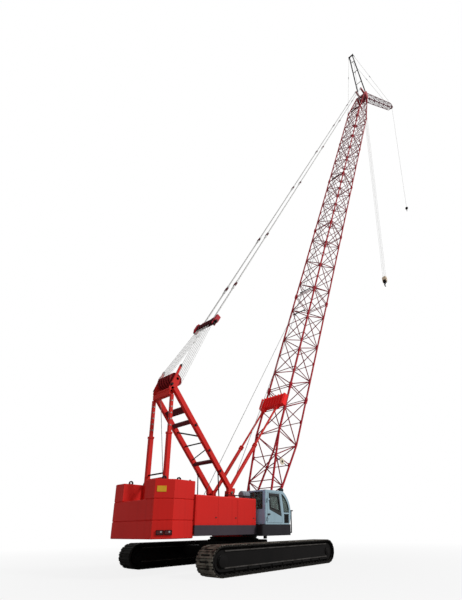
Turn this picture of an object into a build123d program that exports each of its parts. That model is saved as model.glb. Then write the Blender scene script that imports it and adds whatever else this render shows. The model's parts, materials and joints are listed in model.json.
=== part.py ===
"""Crawler crane with a lattice boom and a fixed jib, as a 1:2 scale model in millimetres.

The origin lies on the ground under the swing axis, +X points along the boom and +Z up.
"""

import os
from math import cos, pi, radians, sin

from build123d import *

os.makedirs("parts", exist_ok=True)

# Sections of round pieces, as many-sided as they need
rope_sides = 6
tube_sides = 8
wheel_sides = 16
ring_sides = 24

# Undercarriage
track_length = 3920
track_height = 534
track_gauge = 2590
shoe_width = 446
shoe_pitch = 117
shoe_thickness = 60
shoe_notch = 16
shoe_gap = 14
side_frame_half_width = 170
side_plate = 30
side_plate_bottom = 96
side_plate_top = 450
web_top = 412
sprocket_teeth = 14
tooth_depth = 18
roller_radius = 58
rollers_below = 9
roller_end_distance = 330
rollers_above = 2
carrier_roller_radius = 40
carbody_length = 1300
carbody_width = 1400
carbody_chamfer = 260
carbody_bottom = 240
carbody_top = 560
cross_beam_offset = 430
cross_beam_width = 290
cross_beam_height = 215
slew_ring_outer = 545
slew_ring_inner = 400
slew_ring_top = 640
turntable_radius = 500

# Upper frame
swing_gap = 0.3
fit_gap = 0.3
deck_bottom = 690
deck_thickness = 30
deck_half_width = 905
deck_front_half_width = 510
deck_front = 870
girder_offset = 416
girder_plate = 30
girder_gap = 80
girder_top = 1180
girder_nose_length = 300
girder_nose_rise = 40
foot_lug_reach = 110
foot_lug_corner = 60
bracket_half_width = 170
bracket_top_half_width = 85
cross_tube = 110
cross_tube_drop = 130

# House and winches
house_front = -250
house_half_width = 929
house_inner = 500
house_bottom = 875
house_top = 1427
house_wall = 15
house_edge_radius = 30
skirt_bottom = 688
skirt_thickness = 24
engine_x = -1150
engine_length = 900
engine_width = 330
engine_height = 500
drum_places = (-1560, -1060, -180)
drum_flange_radius = 205
drum_radius = 120
drum_height = 955
drum_flange = 24
drum_end = 16
air_cleaner_radius = 85
air_cleaner_length = 230
air_cleaner_front_gap = 30
air_cleaner_foot = (140, 90, 40)

# Counterweight
tail_x = -2613
tail_rear_half_width = 683
tail_half_width = 886
tail_chamfer = 270
counterweight_length = 724
counterweight_bottom = 646
counterweight_seam_low = 958
counterweight_seam_high = 1328
counterweight_top = 1674
counterweight_edge = 12
gantry_slot_half_width = 375
lug_thickness = 30
lug_width = 90
lug_height = 45
lug_hole = 22
lug_rear_distance = 250
lug_front_distance = 150
lug_slot_distance = 200
lamp_width = 110
lamp_height = 60
lamp_depth = 18
lamp_corner = 12
lamp_spacing = 140
lamp_rise = 110
lamp_shift = 40

# Gantry
gantry_offset = 340
gantry_foot_x = -453
gantry_foot_z = 1585
gantry_head_x = -2131
gantry_head_z = 3628
gantry_leg = 84
gantry_leg_depth = 104
gantry_plate_depth = 70
gantry_foot_length = 200
gantry_foot_height = 100
gantry_plates = ((0.32, 70), (0.7, 90), (0.81, 140))
gantry_brace = 24
gantry_braces_at = ((0.36, 0.44), (0.5, 0.5), (0.645, 0.555))
gantry_back_x = -2162
back_leg_offset = 320
back_leg = 82
back_leg_inner = 60
back_sleeve_top = 2680
back_sleeve_collar = 98
back_sleeve_collar_height = 40
back_tie = 26
back_tie_rise = 100
head_beam = 100
head_beam_top_gap = 50
head_cheek = 24
head_cheek_radius = 90
head_shaft_cheek_radius = 60
head_tube_radius = 45
hoist_sheave_x = -2031
hoist_sheave_z = 3878
hoist_sheave_radius = 150
hoist_sheave_width = 40
hoist_shaft_radius = 35
hoist_sheave_count = 6
hoist_sheave_pitch = 84

# Cab
cab_rear = -136
cab_front_floor = 708
cab_front_nose = 762
cab_roof_front = 467
cab_outer = -1108
cab_inner = -560
cab_floor = 888
cab_nose_height = 1170
cab_roof = 1625
cab_wall = 28
platform_bottom = 650
platform_rear = -232
platform_front = 770
platform_wall = 14
platform_corner = 40
door_rear_distance = 60
door_length_low = 530
door_length_high = 440
door_sill = 30
door_head = 50
door_gap = 6
door_window_frame = 70
door_window_rear_slope = 40
door_window_sill_rear = 330
door_window_sill_front = 250
door_window_front_frame = 90
quarter_post = 55
quarter_frame = 75
quarter_sill = 270
screen_sill = 300
screen_head = 90
screen_side = 45
rear_window_side = 90
rear_window_height = 360
rear_window_rise = 40
window_corner = 40
glass_thickness = 8
hinge_radius = 14
hinge_pin_radius = 7
hinge_stand_off = 3
hinge_back = 4
hinge_leaf = 10
hinge_leaf_length = 60
hinge_pad = 30
knuckle = 40
knuckle_rises = (90, 480)
seat_half_width = 125
rail_radius = 14
rail_inset = 60
rail_stand_off = 70
rail_reach = 130
rail_rise = 30

# Boom
boom_foot_x = 757
boom_foot_z = 905
boom_angle = 69.2
boom_half = 416
chord = 58
chord_wall = 7
lacing = 28
base_length = 4083
insert_length = 4542
insert_count = 5
panels_per_insert = 6
top_length = 3759
top_panels = 4
foot_boss_radius = 100
foot_boss_half_width = 36
foot_pin_radius = 40
foot_pin_end = 12
foot_cheek_length = 420
foot_half_depth = 105
cheek_overlap = 60
base_taper_length = 2460
base_taper_panels = 3
base_straight_panels = 2
head_length = 500
head_plate = 30
head_half_width = 300
head_half_depth = 190
head_overlap = 80
head_tip_radius = 110
head_sheave_radius = 180
head_sheave_width = 44
head_sheave_back = 262
head_sheave_drop = 165
head_sheave_boss = 90
head_sheave_shaft = 40
head_sheave_count = 4
head_sheave_pitch = 110
tip_shaft_radius = 45

# Jib
jib_angle = 45.4
jib_length = 9785
jib_half = 165
jib_chord = 32
jib_lacing = 14
jib_panels = 10
jib_foot_offset = 95
jib_foot_radius = 80
jib_foot_plate = 28
jib_foot_length = 240
jib_foot_half_depth = 60
jib_taper_start = 1150
jib_taper_end = 950
jib_head_length = 260
jib_head_half_width = 110
jib_head_half_depth = 70
jib_head_plate = 16
jib_sheave_radius = 120
jib_sheave_width = 44
jib_sheave_boss = 60
jib_sheave_shaft = 24
mast_angle = 121.5
mast_length = 2594
mast_leg = 60
mast_foot_offset = 245
mast_foot_radius = 75
mast_foot_plate = 32
mast_leg_start = 125
mast_top_offset = 105
mast_rung = 36
mast_rungs = (0.3, 0.6, 0.85)
mast_head_radius = 40
mast_head_end = 20
stay_radius = 9
stay_spread = 150
stay_jib_distance = 400
stay_jib_offset = 100
stay_jib_lift = 90

# Boom suspension
rope_radius = 7
pendant_radius = 10
pendant_offsets = (-205, -150, 150, 205)
pendant_joint_spacing = 4500
pendant_joint = (160, 26, 44)
pendant_eye_back = 500
pendant_eye_lift = 560
pendant_eye_length = 120
pendant_eye_depth = 50
eye_gap = 22
eye_lug = 8
eye_lug_radius = 34
bail_distance = 2058
bail_half_width = 430
bail_length = 330
bail_depth = 110
bail_corner = 24
bail_rope_inset = 20

# Backstops
backstop_offset = 240
backstop_eye_along = 3150
backstop_eye_lift = 586
backstop_eye_radius = 40
backstop_cheek = 16
backstop_cheek_offset = 32
backstop_cheek_half_width = 45
backstop_cheek_base = 55
backstop_tube_radius = 45
backstop_tube_length = 1600
backstop_tube_eye = 40
backstop_eye_cut = 220
backstop_pin_radius = 18
backstop_rod_radius = 28
backstop_rod_gap = 2
backstop_rod_start = 560
backstop_bore_start = 150
backstop_lug_radius = 48
beam_distance = 130
beam_depth = 130
beam_length = 370
beam_rib = 20
beam_rib_depth = 30
beam_rib_count = 9
beam_lug_overlap = 60

# Hoist lines and hooks
main_line_length = 14468
aux_line_length = 11049
block_sheave_radius = 90
block_side = 30
block_height = 360
block_half_width = 110
block_corner = 20
hook_shank_radius = 45
hook_shank_length = 90
hook_radius = 110
hook_bowl = 58
hook_drop = 85
hook_half_width = 30
hook_mouth = (150, 90)
hook_mouth_shift = (90, 60)
ball_radius = 105
ball_bands = 6
ball_neck_radius = 30
ball_shank_radius = 28
ball_shank_length = 90
ball_shank_overlap = 20
ball_hook_radius = 75
ball_hook_bowl = 40
ball_hook_drop = 125
ball_hook_half_width = 20
ball_hook_mouth = (100, 60)
ball_hook_mouth_shift = (60, 40)

boom_length = base_length + insert_count * insert_length + top_length
boom_dir = Vector(cos(radians(boom_angle)), 0, sin(radians(boom_angle)))
boom_up = Vector(-sin(radians(boom_angle)), 0, cos(radians(boom_angle)))
boom_foot = Vector(boom_foot_x, 0, boom_foot_z)
across = Vector(0, 1, 0)
rightward = (0, -1, 0)


def on_boom(along, side, lift):
    """Point on the boom, from its foot pin: along the boom, across it and off its back."""
    return boom_foot + boom_dir * along + across * side + boom_up * lift


def bar(start, end, width, depth, up):
    """Straight bar of rectangular section; up is the side that its depth faces."""
    line = end - start
    depth_dir = (up - line.normalized() * up.dot(line.normalized())).normalized()
    width_dir = depth_dir.cross(line.normalized())
    corner = start - width_dir * (width / 2) - depth_dir * (depth / 2)
    return Solid.make_box(width, depth, line.length, Plane(corner, x_dir=width_dir, z_dir=line))


def rod(start, end, radius, sides):
    """Straight rod of many-sided section between two points."""
    place = Plane(start, z_dir=end - start)
    corners = []
    for number in range(sides):
        angle = 2 * pi * number / sides
        corners.append(place.from_local_coords(Vector(radius * cos(angle), radius * sin(angle), 0)))
    return Solid.extrude(Face(Wire.make_polygon(corners)), end - start)


def inset_ends(stations, inset):
    """The stations with the first and last moved in along the lattice."""
    ends = []
    for (s0, w0, h0), (s1, w1, h1) in ((stations[0], stations[1]), (stations[-1], stations[-2])):
        share = inset / abs(s1 - s0)
        ends.append((s0 + share * (s1 - s0), w0 + share * (w1 - w0), h0 + share * (h1 - h0)))
    return [ends[0], *stations[1:-1], ends[1]]


def lattice(place, stations, chord_side, lacing_side, up):
    """Bars of a four-chord lattice through stations of (along, half width, half depth)."""
    nodes = inset_ends(stations, 1.5 * lacing_side)
    corners = [(-1, -1), (1, -1), (1, 1), (-1, 1)]
    bars = []
    for side, lift in corners:
        ends = [place(s, side * w, lift * h) for s, w, h in stations]
        for start, end in zip(ends, ends[1:]):
            bars.append(bar(start, end, chord_side, chord_side, up))
    for index, (first, second) in enumerate(zip(corners, corners[1:] + corners[:1])):
        face_up = up if first[1] == second[1] else across
        flip = index % 2
        rungs = [place(s, first[0] * w, first[1] * h) for s, w, h in nodes]
        opposite = [place(s, second[0] * w, second[1] * h) for s, w, h in nodes]
        for panel in range(len(nodes) - 1):
            swap = (panel + flip) % 2
            start = rungs[panel] if swap else opposite[panel]
            end = opposite[panel + 1] if swap else rungs[panel + 1]
            bars.append(bar(start, end, lacing_side, lacing_side, face_up))
        for end in (0, -1):
            bars.append(bar(rungs[end], opposite[end], lacing_side, lacing_side, up))
    return bars


def chord_bores(place, stations, chord_side, wall, up):
    """Bores of the four chords between the first and last station."""
    bores = []
    for side, lift in ((-1, -1), (1, -1), (1, 1), (-1, 1)):
        ends = [place(s, side * w, lift * h) for s, w, h in stations]
        for start, end in zip(ends, ends[1:]):
            bores.append(bar(start, end, chord_side - 2 * wall, chord_side - 2 * wall, up))
    return bores


def evenly(start, end, count):
    """Stations from one (along, half width, half depth) to another, in equal steps."""
    steps = []
    for number in range(count + 1):
        share = number / count
        steps.append(tuple(a + share * (b - a) for a, b in zip(start, end)))
    return steps


def keep(builder, name):
    """Labels a finished piece and writes it."""
    builder.part.label = name
    export_step(builder.part, f"parts/{name}.step")


# Track loops, with every shoe in the outline
wheel_radius = track_height / 2
wheel_offset = track_length / 2 - wheel_radius
straight = 2 * wheel_offset
loop_length = 2 * straight + 2 * pi * wheel_radius
shoe_count = round(loop_length / shoe_pitch)


def on_loop(distance, depth):
    """Point on the track loop, from the middle of its ground run, depth below the shoe face."""
    radius = wheel_radius - depth
    distance = (distance + straight / 2) % loop_length
    turn = pi * wheel_radius
    if distance < straight:
        return (distance - straight / 2, wheel_radius - radius)
    if distance < straight + turn:
        angle = (distance - straight) / wheel_radius - pi / 2
        return (wheel_offset + radius * cos(angle), wheel_radius + radius * sin(angle))
    if distance < 2 * straight + turn:
        return (straight / 2 - (distance - straight - turn), wheel_radius + radius)
    angle = (distance - 2 * straight - turn) / wheel_radius + pi / 2
    return (-wheel_offset + radius * cos(angle), wheel_radius + radius * sin(angle))


shoe_step = loop_length / shoe_count
loop_points = []
for shoe in range(shoe_count):
    lead = shoe * shoe_step - (shoe_step - shoe_gap) / 2
    trail = lead + shoe_step - shoe_gap
    loop_points += [on_loop(lead, shoe_notch), on_loop(lead, 0)]
    loop_points += [on_loop(trail, 0), on_loop(trail, shoe_notch)]

for side, name in ((1, "left"), (-1, "right")):
    with BuildPart() as track:
        with BuildSketch(Plane.XZ.offset(-side * track_gauge / 2)):
            with BuildLine():
                Polyline(*loop_points, close=True)
            make_face()
            with Locations((0, wheel_radius)):
                SlotCenterToCenter(straight, track_height - 2 * shoe_thickness, mode=Mode.SUBTRACT)
        extrude(amount=shoe_width / 2, both=True)
    keep(track, f"track_{name}")

    # Side frame: two plates joined by a web, rounded at the wheels
    with BuildPart() as side_frame:
        plate_middle = (side_plate_bottom + side_plate_top) / 2
        with BuildSketch(Plane.XZ.offset(-side * track_gauge / 2)):
            with Locations((0, plate_middle)):
                SlotCenterToCenter(straight, side_plate_top - side_plate_bottom)
        extrude(amount=side_frame_half_width, both=True)
        with BuildSketch(Plane.XZ.offset(-side * track_gauge / 2)):
            with Locations((0, web_top), (0, web_top - side_plate - track_height)):
                Rectangle(track_length, track_height, align=(Align.CENTER, Align.MIN))
        extrude(amount=side_frame_half_width - side_plate, both=True, mode=Mode.SUBTRACT)
        with BuildSketch(Plane.XZ.offset(-side * track_gauge / 2)):
            with Locations((wheel_offset, plate_middle), (-wheel_offset, plate_middle)):
                Rectangle(track_height, track_height)
        extrude(amount=side_frame_half_width - side_plate, both=True, mode=Mode.SUBTRACT)
    keep(side_frame, f"track_frame_{name}")

# Wheels and rollers between the plates of both side frames
wheel_width = 2 * (side_frame_half_width - side_plate - fit_gap)
rim_radius = wheel_radius - shoe_thickness - fit_gap
tooth_points = []
for tooth in range(sprocket_teeth):
    for share, depth in ((0.1, 0), (0.5, 0), (0.6, tooth_depth), (1, tooth_depth)):
        radius = rim_radius - depth
        angle = 2 * pi * (tooth + share) / sprocket_teeth
        tooth_points.append((-wheel_offset + radius * cos(angle), wheel_radius + radius * sin(angle)))
with BuildPart() as drive_sprockets:
    for side in (1, -1):
        with BuildSketch(Plane.XZ.offset(-side * track_gauge / 2)):
            with BuildLine():
                Polyline(*tooth_points, close=True)
            make_face()
        extrude(amount=wheel_width / 2, both=True)
keep(drive_sprockets, "drive_sprockets")

with BuildPart() as idler_wheels:
    for side in (1, -1):
        with BuildSketch(Plane.XZ.offset(-side * track_gauge / 2)):
            with Locations((wheel_offset, wheel_radius)):
                RegularPolygon(rim_radius, wheel_sides)
        extrude(amount=wheel_width / 2, both=True)
keep(idler_wheels, "idler_wheels")

roller_reach = wheel_offset - roller_end_distance
with BuildPart() as track_rollers:
    for side in (1, -1):
        with BuildSketch(Plane.XZ.offset(-side * track_gauge / 2)):
            with Locations((0, shoe_thickness + roller_radius + fit_gap)):
                with GridLocations(2 * roller_reach / (rollers_below - 1), 1, rollers_below, 1):
                    RegularPolygon(roller_radius, tube_sides)
            with Locations((0, track_height - shoe_thickness - carrier_roller_radius - fit_gap)):
                with GridLocations(straight / 2, 1, rollers_above, 1):
                    RegularPolygon(carrier_roller_radius, tube_sides)
        extrude(amount=wheel_width / 2, both=True)
    with BuildPart(mode=Mode.SUBTRACT):
        for side in (1, -1):
            with Locations((0, side * track_gauge / 2, web_top - side_plate / 2)):
                Box(track_length, wheel_width, side_plate + 2 * fit_gap)
keep(track_rollers, "track_rollers")

# Carbody: a central box on two cross beams that meet the side frames
frame_inner = track_gauge / 2 - side_frame_half_width
with BuildPart() as carbody_frame:
    with BuildSketch(Plane.XY.offset(carbody_bottom)):
        Rectangle(carbody_length, carbody_width)
        chamfer(vertices(), carbody_chamfer)
    extrude(amount=carbody_top - carbody_bottom)
    with BuildSketch(Plane.XY.offset(carbody_bottom)):
        with Locations((cross_beam_offset, 0), (-cross_beam_offset, 0)):
            Rectangle(cross_beam_width, 2 * frame_inner)
    extrude(amount=cross_beam_height)
keep(carbody_frame, "carbody_frame")

with BuildPart() as slew_ring:
    with BuildSketch(Plane.XY.offset(carbody_top)):
        RegularPolygon(slew_ring_outer, ring_sides)
        RegularPolygon(slew_ring_inner, ring_sides, mode=Mode.SUBTRACT)
    extrude(amount=slew_ring_top - carbody_top)
keep(slew_ring, "slew_ring")

# Upper frame: turntable, deck, twin-plate girders with boom-foot lugs, gantry brackets
deck_top = deck_bottom + deck_thickness
tail_front = tail_x + counterweight_length
girder_inner = girder_gap / 2
girder_outer = girder_inner + girder_plate
girder_face = girder_offset - girder_outer
with BuildPart() as upper_frame:
    with BuildSketch(Plane.XY.offset(slew_ring_top + swing_gap)):
        RegularPolygon(turntable_radius, ring_sides)
    extrude(amount=deck_bottom - slew_ring_top - swing_gap)
    with BuildSketch(Plane.XY.offset(deck_bottom)):
        with BuildLine():
            Polyline(
                (tail_front, deck_half_width),
                (platform_rear, deck_half_width),
                (platform_rear, deck_front_half_width),
                (deck_front, deck_front_half_width),
                (deck_front, -deck_front_half_width),
                (platform_rear, -deck_front_half_width),
                (platform_rear, -deck_half_width),
                (tail_front, -deck_half_width),
                close=True,
            )
        make_face()
    extrude(amount=deck_thickness)
    for side in (1, -1):
        for plate in (girder_inner, -girder_outer):
            with BuildSketch(Plane.XZ.offset(-side * girder_offset - plate)):
                with BuildLine():
                    Polyline(
                        (tail_front, deck_top),
                        (tail_front, girder_top),
                        (gantry_foot_x + bracket_half_width, girder_top),
                        (boom_foot_x - girder_nose_length, boom_foot_z + girder_nose_rise),
                        (boom_foot_x - foot_lug_corner, boom_foot_z + foot_lug_reach),
                        (boom_foot_x + foot_lug_corner, boom_foot_z + foot_lug_reach),
                        (boom_foot_x + foot_lug_reach, boom_foot_z + foot_lug_corner),
                        (boom_foot_x + foot_lug_reach, deck_top),
                        close=True,
                    )
                make_face()
                with Locations((boom_foot_x, boom_foot_z)):
                    RegularPolygon(
                        foot_pin_radius + fit_gap, wheel_sides, major_radius=False, mode=Mode.SUBTRACT
                    )
            extrude(amount=-girder_plate)
        with BuildSketch(Plane.XZ.offset(-side * (girder_face + girder_plate / 2))):
            with BuildLine():
                Polyline(
                    (gantry_foot_x - bracket_half_width, girder_top),
                    (gantry_foot_x + bracket_half_width, girder_top),
                    (gantry_foot_x + bracket_top_half_width, gantry_foot_z),
                    (gantry_foot_x - bracket_top_half_width, gantry_foot_z),
                    close=True,
                )
            make_face()
        extrude(amount=girder_plate / 2, both=True)
    tube_height = gantry_foot_z - cross_tube_drop
    cheek_top = gantry_foot_z + backstop_cheek_half_width
    with BuildSketch(Plane.XZ):
        with Locations((gantry_foot_x, tube_height)):
            Rectangle(cross_tube, cross_tube)
    extrude(amount=girder_face, both=True)
    for side in (1, -1):
        for cheek in (1, -1):
            with BuildSketch(Plane.XZ.offset(-side * backstop_offset - cheek * backstop_cheek_offset)):
                with BuildLine():
                    Polyline(
                        (gantry_foot_x - backstop_cheek_base, tube_height),
                        (gantry_foot_x - backstop_cheek_half_width, cheek_top),
                        (gantry_foot_x + backstop_cheek_half_width, cheek_top),
                        (gantry_foot_x + backstop_cheek_base, tube_height),
                        close=True,
                    )
                make_face()
            extrude(amount=backstop_cheek / 2, both=True)
        with BuildSketch(Plane.XZ.offset(-side * backstop_offset)):
            with Locations((gantry_foot_x, gantry_foot_z)):
                Circle(backstop_pin_radius)
        extrude(amount=backstop_cheek_offset, both=True)
keep(upper_frame, "upper_frame")

with BuildPart() as boom_foot_pins:
    for side in (1, -1):
        with BuildSketch(Plane.XZ.offset(-side * girder_offset)):
            with Locations((boom_foot_x, boom_foot_z)):
                Circle(foot_pin_radius)
        extrude(amount=girder_outer + foot_pin_end, both=True)
keep(boom_foot_pins, "boom_foot_pins")

# House covers: sheet boxes, open below, over the engine and the pumps
house_middle = (house_half_width + house_inner) / 2
for side, name in ((1, "left"), (-1, "right")):
    with BuildPart() as house:
        with BuildSketch(Plane.XY.offset(house_bottom)):
            with Locations(((tail_front + house_front) / 2, side * house_middle)):
                Rectangle(house_front - tail_front, house_half_width - house_inner)
        extrude(amount=house_top - house_bottom)
        fillet(house.edges().group_by(Axis.Z)[-1].filter_by(Axis.X), house_edge_radius)
        offset(amount=-house_wall, openings=house.faces().sort_by(Axis.Z)[0])
    keep(house, f"house_{name}")

with BuildPart() as house_skirts:
    for side in (1, -1):
        with BuildSketch(Plane.XY.offset(skirt_bottom)):
            skirt_y = side * (deck_half_width + skirt_thickness / 2)
            with Locations(((tail_front + platform_rear) / 2, skirt_y)):
                Rectangle(platform_rear - tail_front, skirt_thickness)
        extrude(amount=house_bottom - skirt_bottom)
keep(house_skirts, "house_skirts")

with BuildPart() as engine_block:
    with BuildSketch(Plane.XY.offset(deck_top)):
        with Locations((engine_x, house_middle)):
            Rectangle(engine_length, engine_width)
    extrude(amount=engine_height)
keep(engine_block, "engine_block")

drum_reach = girder_face - fit_gap
with BuildPart() as winch_drums:
    for drum_x in drum_places:
        with BuildSketch(Plane.XZ):
            with Locations((drum_x, drum_height)):
                RegularPolygon(drum_radius, wheel_sides)
        extrude(amount=drum_reach, both=True)
        for side in (1, -1):
            with BuildSketch(Plane.XZ.offset(side * (drum_reach - drum_end))):
                with Locations((drum_x, drum_height)):
                    RegularPolygon(drum_flange_radius, wheel_sides)
            extrude(amount=-side * drum_flange)
keep(winch_drums, "winch_drums")

with BuildPart() as air_cleaner:
    cleaner_end = house_front - air_cleaner_front_gap
    with BuildSketch(Plane.YZ.offset(cleaner_end)):
        with Locations((-house_middle, house_top + air_cleaner_radius)):
            RegularPolygon(air_cleaner_radius, wheel_sides)
    extrude(amount=-air_cleaner_length)
    with BuildSketch(Plane.XY.offset(house_top)):
        with Locations((cleaner_end - air_cleaner_length / 2, -house_middle)):
            Rectangle(air_cleaner_foot[0], air_cleaner_foot[1])
    extrude(amount=air_cleaner_foot[2])
keep(air_cleaner, "air_cleaner")

# Counterweight: two full slabs and a block each side of the gantry's back legs
tail_outline = [
    (tail_x, tail_rear_half_width),
    (tail_x + tail_chamfer, tail_half_width),
    (tail_front, tail_half_width),
    (tail_front, -tail_half_width),
    (tail_x + tail_chamfer, -tail_half_width),
    (tail_x, -tail_rear_half_width),
]
slabs = (
    ("counterweight_base", counterweight_bottom, counterweight_seam_low),
    ("counterweight_middle", counterweight_seam_low, counterweight_seam_high),
)
for name, low, high in slabs:
    with BuildPart() as slab:
        with BuildSketch(Plane.XY.offset(low)):
            with BuildLine():
                Polyline(*tail_outline, close=True)
            make_face()
        extrude(amount=high - low)
        rims = slab.edges().group_by(Axis.Z)
        chamfer(rims[0] + rims[-1], counterweight_edge)
    keep(slab, name)

for side, name in ((1, "left"), (-1, "right")):
    with BuildPart() as block:
        with BuildSketch(Plane.XY.offset(counterweight_seam_high)):
            with BuildLine():
                Polyline(
                    (tail_x, side * gantry_slot_half_width),
                    (tail_x, side * tail_rear_half_width),
                    (tail_x + tail_chamfer, side * tail_half_width),
                    (tail_front, side * tail_half_width),
                    (tail_front, side * gantry_slot_half_width),
                    close=True,
                )
            make_face()
        extrude(amount=counterweight_top - counterweight_seam_high)
        rims = block.edges().group_by(Axis.Z)
        chamfer(rims[0] + rims[-1], counterweight_edge)
    keep(block, f"counterweight_top_{name}")

with BuildPart() as lifting_lugs:
    for side in (1, -1):
        lug_y = side * (gantry_slot_half_width + lug_slot_distance)
        for lug_x in (tail_x + lug_rear_distance, tail_front - lug_front_distance):
            with BuildSketch(Plane.XZ.offset(-lug_y)):
                with Locations((lug_x, counterweight_top + lug_height)):
                    RegularPolygon(lug_width / 2, tube_sides)
                with Locations((lug_x, counterweight_top + lug_height / 2)):
                    Rectangle(lug_width, lug_height)
                with Locations((lug_x, counterweight_top + lug_height)):
                    Circle(lug_hole, mode=Mode.SUBTRACT)
            extrude(amount=lug_thickness / 2, both=True)
keep(lifting_lugs, "lifting_lugs")

with BuildPart() as rear_lamps:
    chamfer_dir = Vector(tail_chamfer, tail_half_width - tail_rear_half_width)
    for side in (1, -1):
        out = Vector(-chamfer_dir.Y, side * chamfer_dir.X).normalized()
        middle = Vector(tail_x + tail_chamfer / 2, side * (tail_rear_half_width + tail_half_width) / 2)
        lamp_plane = Plane(
            (middle.X, middle.Y, counterweight_bottom + lamp_rise),
            x_dir=(-out.Y, out.X, 0),
            z_dir=(out.X, out.Y, 0),
        )
        with BuildSketch(lamp_plane):
            with Locations((-side * lamp_shift, 0)):
                with GridLocations(lamp_spacing, 1, 2, 1):
                    Rectangle(lamp_width, lamp_height)
            chamfer(vertices(), lamp_corner)
        extrude(amount=lamp_depth)
keep(rear_lamps, "rear_lamps")

# Gantry: raked front legs with cross plates, thin braces between them, telescoping back legs
foot = Vector(gantry_foot_x, 0, gantry_foot_z)
head = Vector(gantry_head_x, 0, gantry_head_z)
rake = (head - foot).normalized()
rake_up = Vector(rake.Z, 0, -rake.X)
cheek_inner = gantry_offset - gantry_leg / 2


def on_legs(share, side):
    """Point between the front legs, from their feet to their heads."""
    return foot + (head - foot) * share + across * side


with BuildPart() as gantry_front_legs:
    legs = []
    for side in (1, -1):
        low = on_legs(0, side * gantry_offset) + Vector(0, 0, gantry_foot_height / 2)
        legs.append(bar(low, on_legs(1, side * gantry_offset), gantry_leg, gantry_leg_depth, rake_up))
    for share, plate in gantry_plates:
        ends = [on_legs(share, side * gantry_offset) for side in (1, -1)]
        legs.append(bar(ends[0], ends[1], plate, gantry_plate_depth, rake_up))
    add(legs)
    with BuildSketch(Plane.XY.offset(gantry_foot_z)):
        with Locations((gantry_foot_x, gantry_offset), (gantry_foot_x, -gantry_offset)):
            Rectangle(gantry_foot_length, gantry_leg)
    extrude(amount=gantry_foot_height)
    with BuildSketch(Plane.XY.offset(gantry_foot_z)):
        with Locations((gantry_foot_x, 0)):
            Rectangle(4 * gantry_foot_length, 4 * gantry_offset)
    extrude(amount=-gantry_foot_height, mode=Mode.SUBTRACT)
keep(gantry_front_legs, "gantry_front_legs")

with BuildPart() as gantry_braces:
    braces = []
    for low, high in gantry_braces_at:
        ends = on_legs(low, gantry_offset), on_legs(high, -gantry_offset)
        braces.append(bar(*ends, gantry_brace, gantry_brace, rake_up))
    add(braces)
    middle = on_legs(0.5, 0)
    with BuildSketch(Plane.XY.offset(gantry_foot_z)):
        with Locations((middle.X, 0)):
            Rectangle(head.Z - foot.Z, 2 * (cheek_inner - fit_gap))
    extrude(amount=head.Z - foot.Z, mode=Mode.INTERSECT)
keep(gantry_braces, "gantry_braces")

back_top = gantry_head_z - head_beam_top_gap - head_beam
with BuildPart() as gantry_back_legs:
    leg_places = ((gantry_back_x, back_leg_offset), (gantry_back_x, -back_leg_offset))
    runs = (
        (back_leg, counterweight_seam_high, back_sleeve_top),
        (back_sleeve_collar, back_sleeve_top - back_sleeve_collar_height, back_sleeve_top),
        (back_leg_inner, back_sleeve_top, back_top),
    )
    for width, low, high in runs:
        with BuildSketch(Plane.XY.offset(low)):
            with Locations(*leg_places):
                Rectangle(width, width)
        extrude(amount=high - low)
    with BuildSketch(Plane.XZ):
        with Locations((gantry_back_x, counterweight_top + back_tie_rise)):
            Rectangle(back_tie, back_tie)
    extrude(amount=back_leg_offset, both=True)
keep(gantry_back_legs, "gantry_back_legs")

# The head: two cheeks on the legs, the cross tube, the beam over the back legs and the sheaves
sheave_centre = Vector(hoist_sheave_x, 0, hoist_sheave_z)
with BuildPart() as gantry_head:
    for side in (1, -1):
        with BuildSketch(Plane.XZ.offset(-side * (cheek_inner - head_cheek / 2))):
            with Locations((gantry_head_x, gantry_head_z)):
                RegularPolygon(head_cheek_radius, tube_sides)
            with Locations((hoist_sheave_x, hoist_sheave_z)):
                RegularPolygon(head_shaft_cheek_radius, tube_sides)
            make_hull()
        extrude(amount=head_cheek / 2, both=True)
    with BuildSketch(Plane.XZ):
        with Locations((gantry_head_x, gantry_head_z)):
            RegularPolygon(head_tube_radius, tube_sides)
        with Locations((hoist_sheave_x, hoist_sheave_z)):
            RegularPolygon(hoist_shaft_radius, tube_sides)
    extrude(amount=cheek_inner, both=True)
    for number in range(hoist_sheave_count):
        sheave_y = (number - (hoist_sheave_count - 1) / 2) * hoist_sheave_pitch
        with BuildSketch(Plane.XZ.offset(-sheave_y)):
            with Locations((hoist_sheave_x, hoist_sheave_z)):
                RegularPolygon(hoist_sheave_radius, wheel_sides)
        extrude(amount=hoist_sheave_width / 2, both=True)
    with BuildSketch(Plane.XZ):
        with Locations((gantry_back_x, back_top + head_beam / 2)):
            Rectangle(head_beam, head_beam)
    extrude(amount=cheek_inner, both=True)
keep(gantry_head, "gantry_head")

# Cab platform, bolted to the side of the deck
with BuildPart() as cab_platform:
    platform_inner = -deck_front_half_width
    with BuildSketch(Plane.XY.offset(platform_bottom)):
        with Locations(((platform_rear + platform_front) / 2, (cab_outer + platform_inner) / 2)):
            Rectangle(platform_front - platform_rear, platform_inner - cab_outer)
    extrude(amount=cab_floor - platform_bottom)
    fillet(cab_platform.edges().filter_by(Axis.Z).group_by(Axis.Y)[0], platform_corner)
    offset(amount=-platform_wall, openings=cab_platform.faces().sort_by(Axis.Z)[0])
keep(cab_platform, "cab_platform")

# Cab shell: its side outline with the bowed front, hollowed, with the windows and the doorway cut
door_rear = cab_rear + door_rear_distance
door_front_low = door_rear + door_length_low
door_front_high = door_rear + door_length_high
door_low = cab_floor + door_sill
door_high = cab_roof - door_head
cab_middle = (cab_outer + cab_inner) / 2
cab_width = cab_inner - cab_outer
hinge_at = (door_rear - hinge_back, cab_outer - hinge_radius - hinge_stand_off)
hinge_knuckles = [(door_low + rise, door_low + rise + knuckle) for rise in knuckle_rises]


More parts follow.
